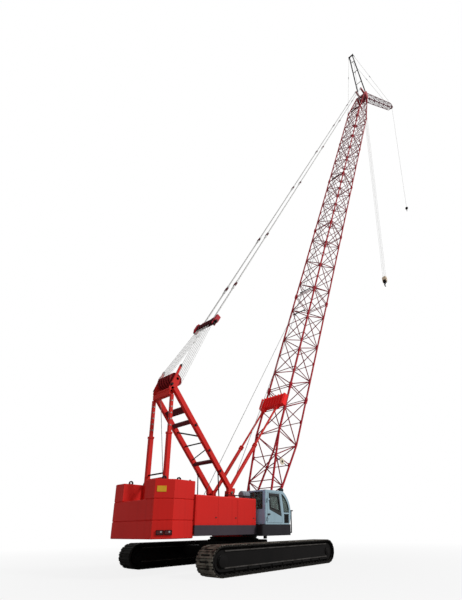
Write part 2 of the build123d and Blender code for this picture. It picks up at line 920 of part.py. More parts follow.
def cab_outline(inset):
    """Side outline of the cab, moved in by inset."""
    roof_end = (cab_roof_front, cab_roof)
    toe = (cab_front_floor, cab_floor)
    with BuildSketch(Plane.XY) as outline:
        with BuildLine():
            Polyline(roof_end, (cab_rear, cab_roof), (cab_rear, cab_floor), toe)
            ThreePointArc(toe, (cab_front_nose, cab_nose_height), roof_end)
        make_face()
        if inset:
            offset(amount=-inset, kind=Kind.INTERSECTION)
    return outline.sketch_local


def door_outline(inset):
    """Doorway outline, moved in by inset."""
    with BuildSketch(Plane.XY) as outline:
        with BuildLine():
            Polyline(
                (door_rear + inset, door_low + inset),
                (door_front_low - inset, door_low + inset),
                (door_front_high - inset, door_high - inset),
                (door_rear + inset, door_high - inset),
                close=True,
            )
        make_face()
    return outline.sketch_local


def door_window(inset):
    """Window of the door, its lower edge falling to the front, moved in by inset."""
    rear = door_rear + door_window_frame + inset
    high = door_high - door_window_frame - inset
    with BuildSketch(Plane.XY) as outline:
        with BuildLine():
            Polyline(
                (rear, high),
                (rear + door_window_rear_slope, door_low + door_window_sill_rear + inset),
                (door_front_low - door_window_front_frame - inset, door_low + door_window_sill_front + inset),
                (door_front_high - door_window_frame - inset, high),
                close=True,
            )
        make_face()
    return outline.sketch_local


def quarter_window(inset):
    """Side window ahead of the door, under the curved front, moved in by inset."""
    low = cab_floor + quarter_sill + inset
    with BuildSketch(Plane.XY) as outline:
        add(cab_outline(quarter_frame + inset))
        with BuildLine():
            Polyline(
                (door_front_low + quarter_post + inset, low),
                (cab_front_nose, low),
                (cab_front_nose, cab_roof),
                (door_front_high + quarter_post + inset, cab_roof),
                close=True,
            )
        make_face(mode=Mode.INTERSECT)
    return outline.sketch_local


outer_plane = Plane.XZ.offset(-cab_outer)
inner_plane = Plane.XZ.offset(-cab_inner)
glass_inset = (cab_wall - glass_thickness) / 2
screen_low = cab_floor + screen_sill
screen_high = cab_roof - screen_head
screen_width = cab_width - 2 * screen_side
screen_at = (cab_middle, (screen_low + screen_high) / 2)
screen_reach = cab_front_nose - cab_roof_front + cab_wall
rear_window_width = cab_width - 2 * rear_window_side
rear_window_at = (cab_middle, (screen_low + screen_high) / 2 + rear_window_rise)
with BuildPart() as cab_shell:
    with BuildSketch(outer_plane):
        add(cab_outline(0))
    extrude(amount=-cab_width)
    with BuildSketch(outer_plane.offset(-cab_wall)):
        add(cab_outline(cab_wall))
    extrude(amount=-(cab_width - 2 * cab_wall), mode=Mode.SUBTRACT)
    with BuildSketch(outer_plane):
        add(door_outline(0))
        add(quarter_window(0))
    extrude(amount=-cab_wall, mode=Mode.SUBTRACT)
    with BuildSketch(inner_plane):
        add(door_window(0))
        add(quarter_window(0))
    extrude(amount=cab_wall, mode=Mode.SUBTRACT)
    with BuildSketch(Plane.YZ.offset(cab_front_nose + cab_wall)):
        with Locations(screen_at):
            Rectangle(screen_width, screen_high - screen_low)
    extrude(amount=-screen_reach, mode=Mode.SUBTRACT)
    with BuildSketch(Plane.YZ.offset(cab_rear)):
        with Locations(rear_window_at):
            RectangleRounded(rear_window_width, rear_window_height, window_corner)
    extrude(amount=cab_wall, mode=Mode.SUBTRACT)
    for low, high in hinge_knuckles:
        with BuildSketch(Plane.XY.offset(low - knuckle)):
            with Locations(hinge_at):
                RegularPolygon(hinge_radius, tube_sides)
            with Locations((hinge_at[0] - hinge_radius, (hinge_at[1] + cab_outer) / 2)):
                Rectangle(2 * hinge_radius, cab_outer - hinge_at[1])
        extrude(amount=knuckle)
        with BuildSketch(Plane.XY.offset(low - knuckle)):
            with Locations(hinge_at):
                Circle(hinge_pin_radius)
        extrude(amount=high - low + knuckle)
keep(cab_shell, "cab_shell")

# Cab glass: quarter windows, left and rear windows and the windscreen, set in the walls
with BuildPart() as cab_glass:
    with BuildSketch(outer_plane.offset(-glass_inset)):
        add(quarter_window(fit_gap))
    extrude(amount=-glass_thickness)
    with BuildSketch(inner_plane.offset(glass_inset)):
        add(quarter_window(fit_gap))
        add(door_window(fit_gap))
    extrude(amount=glass_thickness)
    with BuildSketch(Plane.YZ.offset(cab_rear + glass_inset)):
        with Locations(rear_window_at):
            RectangleRounded(
                rear_window_width - 2 * fit_gap, rear_window_height - 2 * fit_gap, window_corner - fit_gap
            )
    extrude(amount=glass_thickness)
keep(cab_glass, "cab_glass")

with BuildPart() as windscreen:
    with BuildSketch(Plane.XZ.offset(-cab_middle)):
        add(cab_outline(glass_inset))
    extrude(amount=screen_width / 2 - fit_gap, both=True)
    with BuildSketch(Plane.XZ.offset(-cab_middle)):
        add(cab_outline(glass_inset + glass_thickness))
    extrude(amount=cab_width, both=True, mode=Mode.SUBTRACT)
    with BuildSketch(Plane.YZ.offset(cab_front_nose + cab_wall)):
        with Locations(screen_at):
            Rectangle(screen_width - 2 * fit_gap, screen_high - screen_low - 2 * fit_gap)
    extrude(amount=-screen_reach, mode=Mode.INTERSECT)
keep(windscreen, "windscreen")

with BuildPart() as cab_door:
    with BuildSketch(outer_plane):
        add(door_outline(door_gap))
        add(door_window(0), mode=Mode.SUBTRACT)
    extrude(amount=-cab_wall)
    for low, high in hinge_knuckles:
        with BuildSketch(Plane.XY.offset(low + fit_gap)):
            with Locations(hinge_at):
                RegularPolygon(hinge_radius, tube_sides)
            with Locations((hinge_at[0] + hinge_leaf_length / 2, hinge_at[1])):
                Rectangle(hinge_leaf_length, hinge_leaf)
            with Locations((hinge_at[0] + hinge_leaf_length - hinge_pad / 2, (hinge_at[1] + cab_outer) / 2)):
                Rectangle(hinge_pad, cab_outer - hinge_at[1])
            with Locations(hinge_at):
                Circle(hinge_pin_radius + fit_gap, mode=Mode.SUBTRACT)
        extrude(amount=high - low)
keep(cab_door, "cab_door")

with BuildPart() as cab_door_glass:
    with BuildSketch(outer_plane.offset(-glass_inset)):
        add(door_window(fit_gap))
    extrude(amount=-glass_thickness)
keep(cab_door_glass, "cab_door_glass")

# Operator's seat: (x, height over the floor) round its side
seat_outline = (
    (60, 0),
    (60, 170),
    (0, 190),
    (-50, 560),
    (20, 570),
    (70, 250),
    (330, 265),
    (330, 190),
    (220, 170),
    (220, 0),
)
with BuildPart() as operator_seat:
    with BuildSketch(Plane.XZ.offset(-cab_middle)):
        with BuildLine():
            Polyline(*[(x, cab_floor + cab_wall + rise) for x, rise in seat_outline], close=True)
        make_face()
    extrude(amount=seat_half_width, both=True)
keep(operator_seat, "operator_seat")

# Handrail of bent tube on the front of the platform
rail_x = platform_front + rail_radius + rail_stand_off
rail_y = cab_outer + rail_inset
rail_low = Vector(rail_x, rail_y, platform_bottom + rail_inset)
rail_high = Vector(rail_x, rail_y, cab_nose_height + rail_rise)
corner = Vector(0, 0, rail_radius)
with BuildPart() as handrails:
    add(
        [
            rod(Vector(platform_front, rail_y, rail_low.Z), rail_low, rail_radius, tube_sides),
            rod(rail_low - corner, rail_high + corner, rail_radius, tube_sides),
            rod(rail_high, rail_high + Vector(rail_reach - rail_stand_off, 0, 0), rail_radius, tube_sides),
        ]
    )
keep(handrails, "handrails")

# Boom: base, inserts and tapered top, four hollow chords laced on every face
base_taper_end = (base_taper_length, boom_half, boom_half)
base_stations = evenly((foot_cheek_length, boom_half, foot_half_depth), base_taper_end, base_taper_panels)
base_stations += evenly(base_taper_end, (base_length, boom_half, boom_half), base_straight_panels)[1:]
with BuildPart() as boom_base:
    add(lattice(on_boom, base_stations, chord, lacing, boom_up))
    add(chord_bores(on_boom, base_stations, chord, chord_wall, boom_up), mode=Mode.SUBTRACT)
    for side in (1, -1):
        with BuildSketch(Plane(on_boom(0, side * boom_half, 0), x_dir=boom_dir, z_dir=rightward)):
            RegularPolygon(foot_boss_radius, wheel_sides)
            with Locations((foot_cheek_length, 0)):
                Rectangle(cheek_overlap, 2 * foot_half_depth + chord)
            make_hull()
            Circle(foot_pin_radius + fit_gap, mode=Mode.SUBTRACT)
        extrude(amount=foot_boss_half_width, both=True)
keep(boom_base, "boom_base")

insert_end = base_length + insert_length
insert_stations = evenly(
    (base_length, boom_half, boom_half), (insert_end, boom_half, boom_half), panels_per_insert
)
with BuildPart() as boom_insert:
    add(lattice(on_boom, insert_stations, chord, lacing, boom_up))
    add(chord_bores(on_boom, insert_stations, chord, chord_wall, boom_up), mode=Mode.SUBTRACT)
for number in range(insert_count):
    placed = boom_insert.part.moved(Location(boom_dir * (number * insert_length)))
    placed.label = f"boom_insert_{number + 1}"
    export_step(placed, f"parts/boom_insert_{number + 1}.step")

top_start = base_length + insert_count * insert_length
head_start = boom_length - head_length
top_stations = evenly(
    (top_start, boom_half, boom_half), (head_start, head_half_width, head_half_depth), top_panels
)
sheave_at = (boom_length - head_sheave_back, -head_sheave_drop)
eye_at = (boom_length - pendant_eye_back, pendant_eye_lift)
eye_width = eye_gap - 2 * fit_gap
boom_plane = Plane(boom_foot, x_dir=boom_dir, z_dir=rightward)
with BuildPart() as boom_top:
    add(lattice(on_boom, top_stations, chord, lacing, boom_up))
    add(chord_bores(on_boom, top_stations, chord, chord_wall, boom_up), mode=Mode.SUBTRACT)
    with BuildSketch(Plane(on_boom(top_start, 0, 0), z_dir=boom_dir)):
        Rectangle(3 * boom_half, 3 * boom_half)
    extrude(amount=-chord, mode=Mode.SUBTRACT)
    for side in (1, -1):
        with BuildSketch(boom_plane.offset(-side * head_half_width)):
            with Locations((head_start, 0)):
                Rectangle(head_overlap, 2 * head_half_depth + chord)
            with Locations((boom_length, 0)):
                RegularPolygon(head_tip_radius, tube_sides)
            with Locations(sheave_at):
                RegularPolygon(head_sheave_boss, tube_sides)
            make_hull()
        extrude(amount=head_plate, both=True)
    with BuildSketch(boom_plane):
        with Locations((boom_length, 0)):
            RegularPolygon(tip_shaft_radius, wheel_sides)
    extrude(amount=head_half_width, both=True)
    for offset_y in pendant_offsets:
        for cheek in (-1, 1):
            with BuildSketch(boom_plane.offset(-offset_y - cheek * (eye_gap + eye_lug) / 2)):
                with Locations(eye_at):
                    RegularPolygon(eye_lug_radius, tube_sides)
                with Locations((boom_length, 0)):
                    RegularPolygon(tip_shaft_radius, tube_sides)
                make_hull()
            extrude(amount=eye_lug / 2, both=True)
keep(boom_top, "boom_top")

# Head sheaves, a corner of their rims turned to the hanging rope
with BuildPart() as boom_head_sheaves:
    with BuildSketch(boom_plane):
        with Locations(sheave_at):
            RegularPolygon(head_sheave_shaft, tube_sides)
    extrude(amount=head_half_width - head_plate - fit_gap, both=True)
    for number in range(head_sheave_count):
        sheave_y = (number - (head_sheave_count - 1) / 2) * head_sheave_pitch
        with BuildSketch(boom_plane.offset(-sheave_y)):
            with Locations(sheave_at):
                RegularPolygon(head_sheave_radius, wheel_sides, rotation=-boom_angle)
        extrude(amount=head_sheave_width / 2, both=True)
keep(boom_head_sheaves, "boom_head_sheaves")

# Ribbed beam across the back of the boom base, with lugs for the backstop rods
beam_low = backstop_eye_along + beam_distance
chord_face = boom_half + chord / 2
with BuildPart() as backstop_beam:
    with BuildSketch(boom_plane):
        with Locations((beam_low + beam_length / 2, chord_face + beam_depth / 2)):
            Rectangle(beam_length, beam_depth)
    extrude(amount=chord_face, both=True)
    for number in range(beam_rib_count):
        rib_y = (2 * number / (beam_rib_count - 1) - 1) * boom_half
        with BuildSketch(boom_plane.offset(-rib_y)):
            with Locations((beam_low + beam_length / 2, chord_face + beam_depth + beam_rib_depth / 2)):
                Rectangle(beam_length, beam_rib_depth)
        extrude(amount=beam_rib / 2, both=True)
    for side in (1, -1):
        for cheek in (1, -1):
            with BuildSketch(boom_plane.offset(-side * backstop_offset - cheek * backstop_cheek_offset)):
                with Locations((backstop_eye_along, backstop_eye_lift)):
                    RegularPolygon(backstop_lug_radius, tube_sides)
                with Locations((beam_low + beam_lug_overlap, chord_face + beam_depth / 2)):
                    Rectangle(beam_lug_overlap, beam_depth)
                make_hull()
            extrude(amount=backstop_cheek / 2, both=True)
keep(backstop_beam, "backstop_beam")

# Backstops: tubes hinged at the gantry feet, rods that end between the beam's lugs
stop_eye = on_boom(backstop_eye_along, 0, backstop_eye_lift)
stop_dir = (stop_eye - foot).normalized()
stop_length = (stop_eye - foot).length
rod_bore = backstop_rod_radius + backstop_rod_gap
tube_eye_half = backstop_tube_eye / 2
with BuildPart() as backstop_tubes:
    for side in (1, -1):
        pivot = foot + across * (side * backstop_offset)
        with BuildSketch(Plane(pivot, z_dir=stop_dir)):
            RegularPolygon(backstop_tube_radius, tube_sides)
        extrude(amount=backstop_tube_length)
        with BuildSketch(Plane(pivot + stop_dir * backstop_bore_start, z_dir=stop_dir)):
            RegularPolygon(rod_bore, tube_sides)
        extrude(amount=backstop_tube_length, mode=Mode.SUBTRACT)
        for cheek in (1, -1):
            cut_y = side * backstop_offset + cheek * (tube_eye_half + backstop_tube_radius / 2)
            with BuildSketch(Plane.XZ.offset(-cut_y)):
                with Locations((gantry_foot_x, gantry_foot_z)):
                    Rectangle(backstop_eye_cut, backstop_eye_cut)
            extrude(amount=backstop_tube_radius / 2, both=True, mode=Mode.SUBTRACT)
        with BuildSketch(Plane.XZ.offset(-side * backstop_offset)):
            with Locations((gantry_foot_x, gantry_foot_z)):
                RegularPolygon(backstop_tube_radius, tube_sides)
        extrude(amount=tube_eye_half, both=True)
        with BuildSketch(Plane.XZ.offset(-side * backstop_offset)):
            with Locations((gantry_foot_x, gantry_foot_z)):
                Circle(backstop_pin_radius + fit_gap)
        extrude(amount=tube_eye_half, both=True, mode=Mode.SUBTRACT)
keep(backstop_tubes, "backstop_tubes")

rod_eye_half = backstop_cheek_offset - backstop_cheek / 2 - fit_gap
with BuildPart() as backstop_rods:
    for side in (1, -1):
        pivot = foot + across * (side * backstop_offset)
        with BuildSketch(Plane(pivot + stop_dir * backstop_rod_start, z_dir=stop_dir)):
            RegularPolygon(backstop_rod_radius, tube_sides)
        extrude(amount=stop_length - backstop_rod_start - 1.5 * backstop_eye_radius)
        rod_eye = stop_eye + across * (side * backstop_offset)
        with BuildSketch(Plane(rod_eye, x_dir=stop_dir, z_dir=rightward)):
            RegularPolygon(backstop_eye_radius, tube_sides)
            with Locations((-1.5 * backstop_eye_radius, 0)):
                Rectangle(2.5 * backstop_eye_radius, 2 * backstop_rod_radius)
        extrude(amount=rod_eye_half, both=True)
keep(backstop_rods, "backstop_rods")

# Boom suspension: hoist ropes from the gantry to the bail, pendants from there to the boom head
eye_middle = on_boom(eye_at[0], 0, eye_at[1])
line_dir = (eye_middle - sheave_centre).normalized()
line_up = Vector(-line_dir.Z, 0, line_dir.X)
line_length = (eye_middle - sheave_centre).length
bail_start = sheave_centre + line_dir * (bail_distance - bail_length / 2)
with BuildPart() as boom_hoist_ropes:
    parts_of_rope = []
    for number in range(hoist_sheave_count):
        sheave_y = (number - (hoist_sheave_count - 1) / 2) * hoist_sheave_pitch
        for lift in (1, -1):
            rise = line_up * (lift * (hoist_sheave_radius + 1.5 * rope_radius))
            spread = line_up * (lift * (bail_depth / 2 - bail_rope_inset))
            low = sheave_centre + across * sheave_y + rise
            high = bail_start + across * sheave_y + spread - line_dir * fit_gap
            parts_of_rope.append(rod(low, high, rope_radius, rope_sides))
    add(parts_of_rope)
keep(boom_hoist_ropes, "boom_hoist_ropes")

with BuildPart() as bail:
    with BuildSketch(Plane(bail_start, x_dir=line_dir, z_dir=rightward)):
        with Locations((bail_length / 2, 0)):
            Rectangle(bail_length, bail_depth)
        chamfer(vertices(), bail_corner)
    extrude(amount=bail_half_width, both=True)
keep(bail, "bail")

pendant_start = bail_start + line_dir * (bail_length + fit_gap)
pendant_length = line_length - bail_distance - bail_length / 2 - fit_gap
link_count = int(pendant_length // pendant_joint_spacing)
link_length, link_width, link_depth = pendant_joint
with BuildPart() as pendant_lines:
    pieces = []
    for offset_y in pendant_offsets:
        low = pendant_start + across * offset_y
        pieces.append(
            rod(low, low + line_dir * (pendant_length - pendant_eye_length / 2), pendant_radius, rope_sides)
        )
        for number in range(1, link_count + 1):
            link = low + line_dir * (number * pendant_joint_spacing)
            pieces.append(bar(link, link + line_dir * link_length, link_width, link_depth, line_up))
        eye = low + line_dir * (pendant_length - 0.75 * pendant_eye_length)
        pieces.append(bar(eye, eye + line_dir * pendant_eye_length, eye_width, pendant_eye_depth, line_up))
    add(pieces)
keep(pendant_lines, "pendant_lines")

# Fixed jib with its mast and stays
boom_tip = on_boom(boom_length, 0, 0)
jib_dir = Vector(cos(radians(jib_angle)), 0, sin(radians(jib_angle)))
jib_up = Vector(-sin(radians(jib_angle)), 0, cos(radians(jib_angle)))


def on_jib(along, side, lift):
    """Point on the jib, from its foot pin."""
    return boom_tip + jib_dir * along + across * side + jib_up * lift


jib_stations = [(jib_foot_length, jib_foot_offset, jib_foot_half_depth)]
jib_stations += evenly(
    (jib_taper_start, jib_half, jib_half), (jib_length - jib_taper_end, jib_half, jib_half), jib_panels
)
jib_stations.append((jib_length - jib_head_length, jib_head_half_width, jib_head_half_depth))
jib_plane = Plane(boom_tip, x_dir=jib_dir, z_dir=rightward)
jib_sheave_at = (jib_length - jib_sheave_radius, 0)
with BuildPart() as jib:
    add(lattice(on_jib, jib_stations, jib_chord, jib_lacing, jib_up))
    for side in (1, -1):
        with BuildSketch(jib_plane.offset(-side * jib_foot_offset)):
            RegularPolygon(jib_foot_radius, tube_sides)
            with Locations((jib_foot_length, 0)):
                Rectangle(2 * jib_chord, 2 * jib_foot_half_depth + jib_chord)
            make_hull()
            RegularPolygon(tip_shaft_radius + fit_gap, wheel_sides, major_radius=False, mode=Mode.SUBTRACT)
        extrude(amount=jib_foot_plate / 2, both=True)
        with BuildSketch(jib_plane.offset(-side * jib_head_half_width)):
            with Locations((jib_length - jib_head_length, 0)):
                Rectangle(2 * jib_chord, 2 * jib_head_half_depth + jib_chord)
            with Locations(jib_sheave_at):
                RegularPolygon(jib_sheave_boss, tube_sides)
            make_hull()
        extrude(amount=jib_head_plate / 2, both=True)
    with BuildSketch(jib_plane):
        with Locations(jib_sheave_at):
            RegularPolygon(jib_sheave_shaft, tube_sides)
    extrude(amount=jib_head_half_width, both=True)
    with BuildSketch(jib_plane):
        with Locations(jib_sheave_at):
            RegularPolygon(jib_sheave_radius, wheel_sides, rotation=-jib_angle)
    extrude(amount=jib_sheave_width / 2, both=True)
keep(jib, "jib")

mast_dir = Vector(cos(radians(mast_angle)), 0, sin(radians(mast_angle)))
mast_up = Vector(-sin(radians(mast_angle)), 0, cos(radians(mast_angle)))
mast_top = boom_tip + mast_dir * mast_length
mast_plane = Plane(boom_tip, x_dir=mast_dir, z_dir=rightward)
with BuildPart() as jib_mast:
    legs = []
    for side in (1, -1):
        low = boom_tip + across * (side * mast_foot_offset) + mast_dir * mast_leg_start
        legs.append(bar(low, mast_top + across * (side * mast_top_offset), mast_leg, mast_leg, mast_up))
    for share in mast_rungs:
        reach = across * (mast_foot_offset + share * (mast_top_offset - mast_foot_offset))
        rung = boom_tip + mast_dir * (mast_leg_start + share * (mast_length - mast_leg_start))
        legs.append(bar(rung - reach, rung + reach, mast_rung, mast_rung, mast_up))
    add(legs)
    for side in (1, -1):
        with BuildSketch(mast_plane.offset(-side * mast_foot_offset)):
            RegularPolygon(mast_foot_radius, tube_sides)
            with Locations((mast_leg_start + mast_leg, 0)):
                Rectangle(mast_leg, mast_leg)
            make_hull()
            RegularPolygon(tip_shaft_radius + fit_gap, wheel_sides, major_radius=False, mode=Mode.SUBTRACT)
        extrude(amount=mast_foot_plate / 2, both=True)
    with BuildSketch(mast_plane):
        with Locations((mast_length, 0)):
            Circle(mast_head_radius)
    extrude(amount=stay_spread + mast_head_end, both=True)
keep(jib_mast, "jib_mast")

back_anchor = on_boom(top_start, 0, chord_face + 1.5 * stay_radius)
jib_anchor = on_jib(jib_length - stay_jib_distance, 0, stay_jib_lift + jib_chord)
with BuildPart() as jib_stays:
    stays = []
    for side in (1, -1):
        for anchor, anchor_y in ((back_anchor, boom_half), (jib_anchor, stay_jib_offset)):
            run = (anchor - mast_top).normalized()
            start = mast_top + across * (side * stay_spread) + run * (mast_head_radius + fit_gap)
            end = anchor + across * (side * anchor_y) - run * (stay_radius + fit_gap)
            stays.append(rod(start, end, stay_radius, rope_sides))
    add(stays)
keep(jib_stays, "jib_stays")

# Main line: four parts of rope from the head sheaves to the hook block
main_sheave = on_boom(sheave_at[0], 0, sheave_at[1])
main_rope_x = main_sheave.X + head_sheave_radius + rope_radius + fit_gap
back_rope_x = main_rope_x - 2 * block_sheave_radius
block_x = (main_rope_x + back_rope_x) / 2
block_top = main_sheave.Z - main_line_length
back_drop = (head_sheave_radius**2 - (back_rope_x - main_sheave.X) ** 2) ** 0.5 + 2 * rope_radius
with BuildPart() as main_hoist_rope:
    falls = []
    for sheave_y in (-head_sheave_pitch / 2, head_sheave_pitch / 2):
        for fall_x, fall_top in ((main_rope_x, main_sheave.Z), (back_rope_x, main_sheave.Z - back_drop)):
            low = Vector(fall_x, sheave_y, block_top)
            falls.append(rod(low, Vector(fall_x, sheave_y, fall_top), rope_radius, rope_sides))
    add(falls)
keep(main_hoist_rope, "main_hoist_rope")

# Hook block: cheeks round two sheaves, weights on the sides, the hook on its swivel below
shank_top = block_top - block_height - fit_gap
hook_at = (block_x, shank_top - hook_shank_length - hook_drop)
with BuildPart() as hook_block:
    with BuildSketch(Plane.XZ):
        with Locations((block_x, block_top - block_height / 2 - fit_gap)):
            RectangleRounded(2 * (block_sheave_radius + block_side), block_height, block_corner)
    extrude(amount=block_half_width, both=True)
    with BuildSketch(Plane.XY.offset(shank_top)):
        with Locations((block_x, 0)):
            RegularPolygon(hook_shank_radius, tube_sides)
    extrude(amount=-hook_shank_length)
    with BuildSketch(Plane.XZ):
        with Locations(hook_at):
            Circle(hook_radius)
            Circle(hook_bowl, mode=Mode.SUBTRACT)
            with Locations(hook_mouth_shift):
                Rectangle(hook_mouth[0], hook_mouth[1], mode=Mode.SUBTRACT)
    extrude(amount=hook_half_width, both=True)
keep(hook_block, "hook_block")

# Auxiliary line: one part of rope from the jib's sheave to the ball hook
jib_sheave = on_jib(jib_sheave_at[0], 0, 0)
aux_rope_x = jib_sheave.X + jib_sheave_radius + rope_radius + fit_gap
ball_top = jib_sheave.Z - aux_line_length
with BuildPart() as aux_hoist_rope:
    low = Vector(aux_rope_x, 0, ball_top)
    add(rod(low, Vector(aux_rope_x, 0, jib_sheave.Z), rope_radius, rope_sides))
keep(aux_hoist_rope, "aux_hoist_rope")

ball_middle = Vector(aux_rope_x, 0, ball_top - fit_gap - ball_radius)
ball_low = ball_middle.Z - ball_radius
with BuildPart() as ball_hook:
    for step in range(1, ball_bands):
        angle = pi * (step / ball_bands - 0.5)
        with BuildSketch(Plane.XY.offset(ball_middle.Z + ball_radius * sin(angle))):
            with Locations((aux_rope_x, 0)):
                RegularPolygon(ball_radius * cos(angle), wheel_sides)
    loft(ruled=True)
    with BuildSketch(Plane.XY.offset(ball_middle.Z)):
        with Locations((aux_rope_x, 0)):
            RegularPolygon(ball_neck_radius, tube_sides)
    extrude(amount=ball_radius)
    with BuildSketch(Plane.XY.offset(ball_low + ball_shank_overlap)):
        with Locations((aux_rope_x, 0)):
            RegularPolygon(ball_shank_radius, tube_sides)
    extrude(amount=-ball_shank_length)
    with BuildSketch(Plane.XZ):
        with Locations((aux_rope_x, ball_low - ball_hook_drop)):
            Circle(ball_hook_radius)
            Circle(ball_hook_bowl, mode=Mode.SUBTRACT)
            with Locations(ball_hook_mouth_shift):
                Rectangle(ball_hook_mouth[0], ball_hook_mouth[1], mode=Mode.SUBTRACT)
    extrude(amount=ball_hook_half_width, both=True)
keep(ball_hook, "ball_hook")
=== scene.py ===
"""Looks of a crawler crane with a lattice boom and a fixed jib, as a 1:2 scale model, in metres.

+X points along the boom, +Y to the machine's left and +Z up, from the ground under the swing axis.
"""

import json
from contextlib import contextmanager
from math import cos, pi, radians, sin, sqrt

import bmesh
import bpy
from mathutils import Matrix, Vector


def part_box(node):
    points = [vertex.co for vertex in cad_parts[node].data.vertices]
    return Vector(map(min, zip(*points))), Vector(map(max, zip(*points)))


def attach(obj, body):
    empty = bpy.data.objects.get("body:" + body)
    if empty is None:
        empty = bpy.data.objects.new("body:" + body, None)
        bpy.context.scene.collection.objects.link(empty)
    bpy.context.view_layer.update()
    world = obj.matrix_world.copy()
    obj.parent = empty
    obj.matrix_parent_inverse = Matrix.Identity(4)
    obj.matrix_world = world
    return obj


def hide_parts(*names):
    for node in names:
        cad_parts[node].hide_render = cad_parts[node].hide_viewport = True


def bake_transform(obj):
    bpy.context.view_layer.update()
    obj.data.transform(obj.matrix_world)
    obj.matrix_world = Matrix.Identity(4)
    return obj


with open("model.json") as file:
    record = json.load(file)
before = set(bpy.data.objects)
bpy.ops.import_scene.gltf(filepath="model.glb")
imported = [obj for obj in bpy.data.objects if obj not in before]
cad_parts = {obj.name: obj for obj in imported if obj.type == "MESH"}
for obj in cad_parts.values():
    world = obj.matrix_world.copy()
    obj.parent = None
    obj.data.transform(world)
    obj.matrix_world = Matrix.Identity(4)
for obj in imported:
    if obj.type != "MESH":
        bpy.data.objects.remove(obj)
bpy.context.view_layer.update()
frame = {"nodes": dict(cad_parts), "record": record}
scene = bpy.context.scene

# Finishes
# Each finish is built from the object's own coordinates, with its grain given in millimetres.


def linear(code):
    """Linear colour of an sRGB hex code."""
    channels = [int(code[place : place + 2], 16) / 255 for place in (0, 2, 4)]
    return (*(c / 12.92 if c <= 0.04045 else ((c + 0.055) / 1.055) ** 2.4 for c in channels), 1.0)


def plug(material, shader, inputs):
    """Fills a shader node's inputs, each with a value or with another node's output."""
    for name, value in inputs.items():
        if isinstance(value, bpy.types.NodeSocket):
            material.node_tree.links.new(value, shader.inputs[name])
        else:
            shader.inputs[name].default_value = value


def node(material, kind, inputs, output, **settings):
    """Adds a shader node with its settings and inputs, and gives one of its outputs."""
    added = material.node_tree.nodes.new("ShaderNode" + kind)
    for name, value in settings.items():
        setattr(added, name, value)
    plug(material, added, inputs)
    return added.outputs[output]


def new_finish(name):
    """A new material, its surface shader and the object's own coordinates."""
    material = bpy.data.materials.new(name)
    material.use_nodes = True
    return material, material.node_tree.nodes["Principled BSDF"], node(material, "TexCoord", {}, "Object")


def noise(material, place, grain_mm, detail=2.0):
    """Cloudy noise of a given grain."""
    return node(material, "TexNoise", {"Vector": place, "Scale": 1000 / grain_mm, "Detail": detail}, "Fac")


def remap(material, value, span=(0.0, 1.0), to=(0.0, 1.0)):
    """A value stretched from one span to another."""
    inputs = {"Value": value, "From Min": span[0], "From Max": span[1], "To Min": to[0], "To Max": to[1]}
    return node(material, "MapRange", inputs, "Result")


def maths(material, operation, first, second):
    """Two values worked into one."""
    return node(material, "Math", {0: first, 1: second}, "Value", operation=operation)


def mixed(material, share, first, second):
    """A colour between two, each a hex code or another node's output."""
    first, second = (linear(tone) if isinstance(tone, str) else tone for tone in (first, second))
    return node(material, "Mix", {0: share, 6: first, 7: second}, 2, data_type="RGBA")


def bump(material, height, strength, depth):
    """A normal that follows a fine relief."""
    return node(material, "Bump", {"Height": height, "Strength": strength, "Distance": depth}, "Normal")


def sprayed_enamel(name, colour, faded, roughness, dust=0.0):
    """Enamel sprayed on welded steel: it fades in broad patches, runs in faint rain streaks, has an
    orange peel in its gloss, drawn coarser than the real 2 mm so that it shows, and holds dust."""
    patch_mm, streak_mm, peel_mm = 700, 60, 12
    material, shader, place = new_finish(name)
    patch = noise(material, place, patch_mm, 6.0)
    tone = mixed(material, remap(material, patch, (0.35, 0.7)), colour, faded)
    narrow = node(material, "Mapping", {"Vector": place, "Scale": (1.0, 1.0, 0.06)}, "Vector")
    run = remap(material, noise(material, narrow, streak_mm, 3.0), (0.5, 0.8), (1.0, 0.9))
    streaked = node(material, "VectorMath", {0: tone, 1: run}, "Vector", operation="MULTIPLY")
    normal = node(material, "NewGeometry", {}, "Normal")
    facing = node(material, "SeparateXYZ", {"Vector": normal}, "Z")
    ledge = remap(material, facing, (0.5, 1.0), (0.12 * dust, dust))
    inputs = {
        "Base Color": mixed(material, maths(material, "MULTIPLY", ledge, patch), streaked, "8f8676"),
        "Roughness": remap(material, patch, to=(roughness - 0.08, roughness + 0.12)),
        "Normal": bump(material, noise(material, place, peel_mm), 0.06, 0.002),
        "Specular IOR Level": 0.1,
    }
    plug(material, shader, inputs)
    return material


def cast_steel(name, colour, dirt, metallic, roughness):
    """Sand-cast manganese steel: a pitted grey skin of fine grit, earth in its hollows."""
    clod_mm, grit_mm = 130, 15
    material, shader, place = new_finish(name)
    clod = noise(material, place, clod_mm, 8.0)
    grit = node(material, "TexVoronoi", {"Vector": place, "Scale": 1000 / grit_mm}, "Distance")
    inputs = {
        "Base Color": mixed(material, remap(material, clod, (0.45, 0.65)), colour, dirt),
        "Roughness": remap(material, clod, to=(roughness - 0.1, roughness + 0.25)),
        "Normal": bump(material, grit, 0.35, 0.004),
        "Metallic": metallic,
        "Specular IOR Level": 0.15,
    }
    plug(material, shader, inputs)
    return material


def bands(material, place, pitch_mm, direction, distortion=0.0):
    """Soft stripes of a given pitch."""
    inputs = {"Vector": place, "Scale": 1000 / pitch_mm / 6.28, "Distortion": distortion, "Detail": 2.0}
    return node(material, "TexWave", inputs, "Fac", wave_type="BANDS", bands_direction=direction)


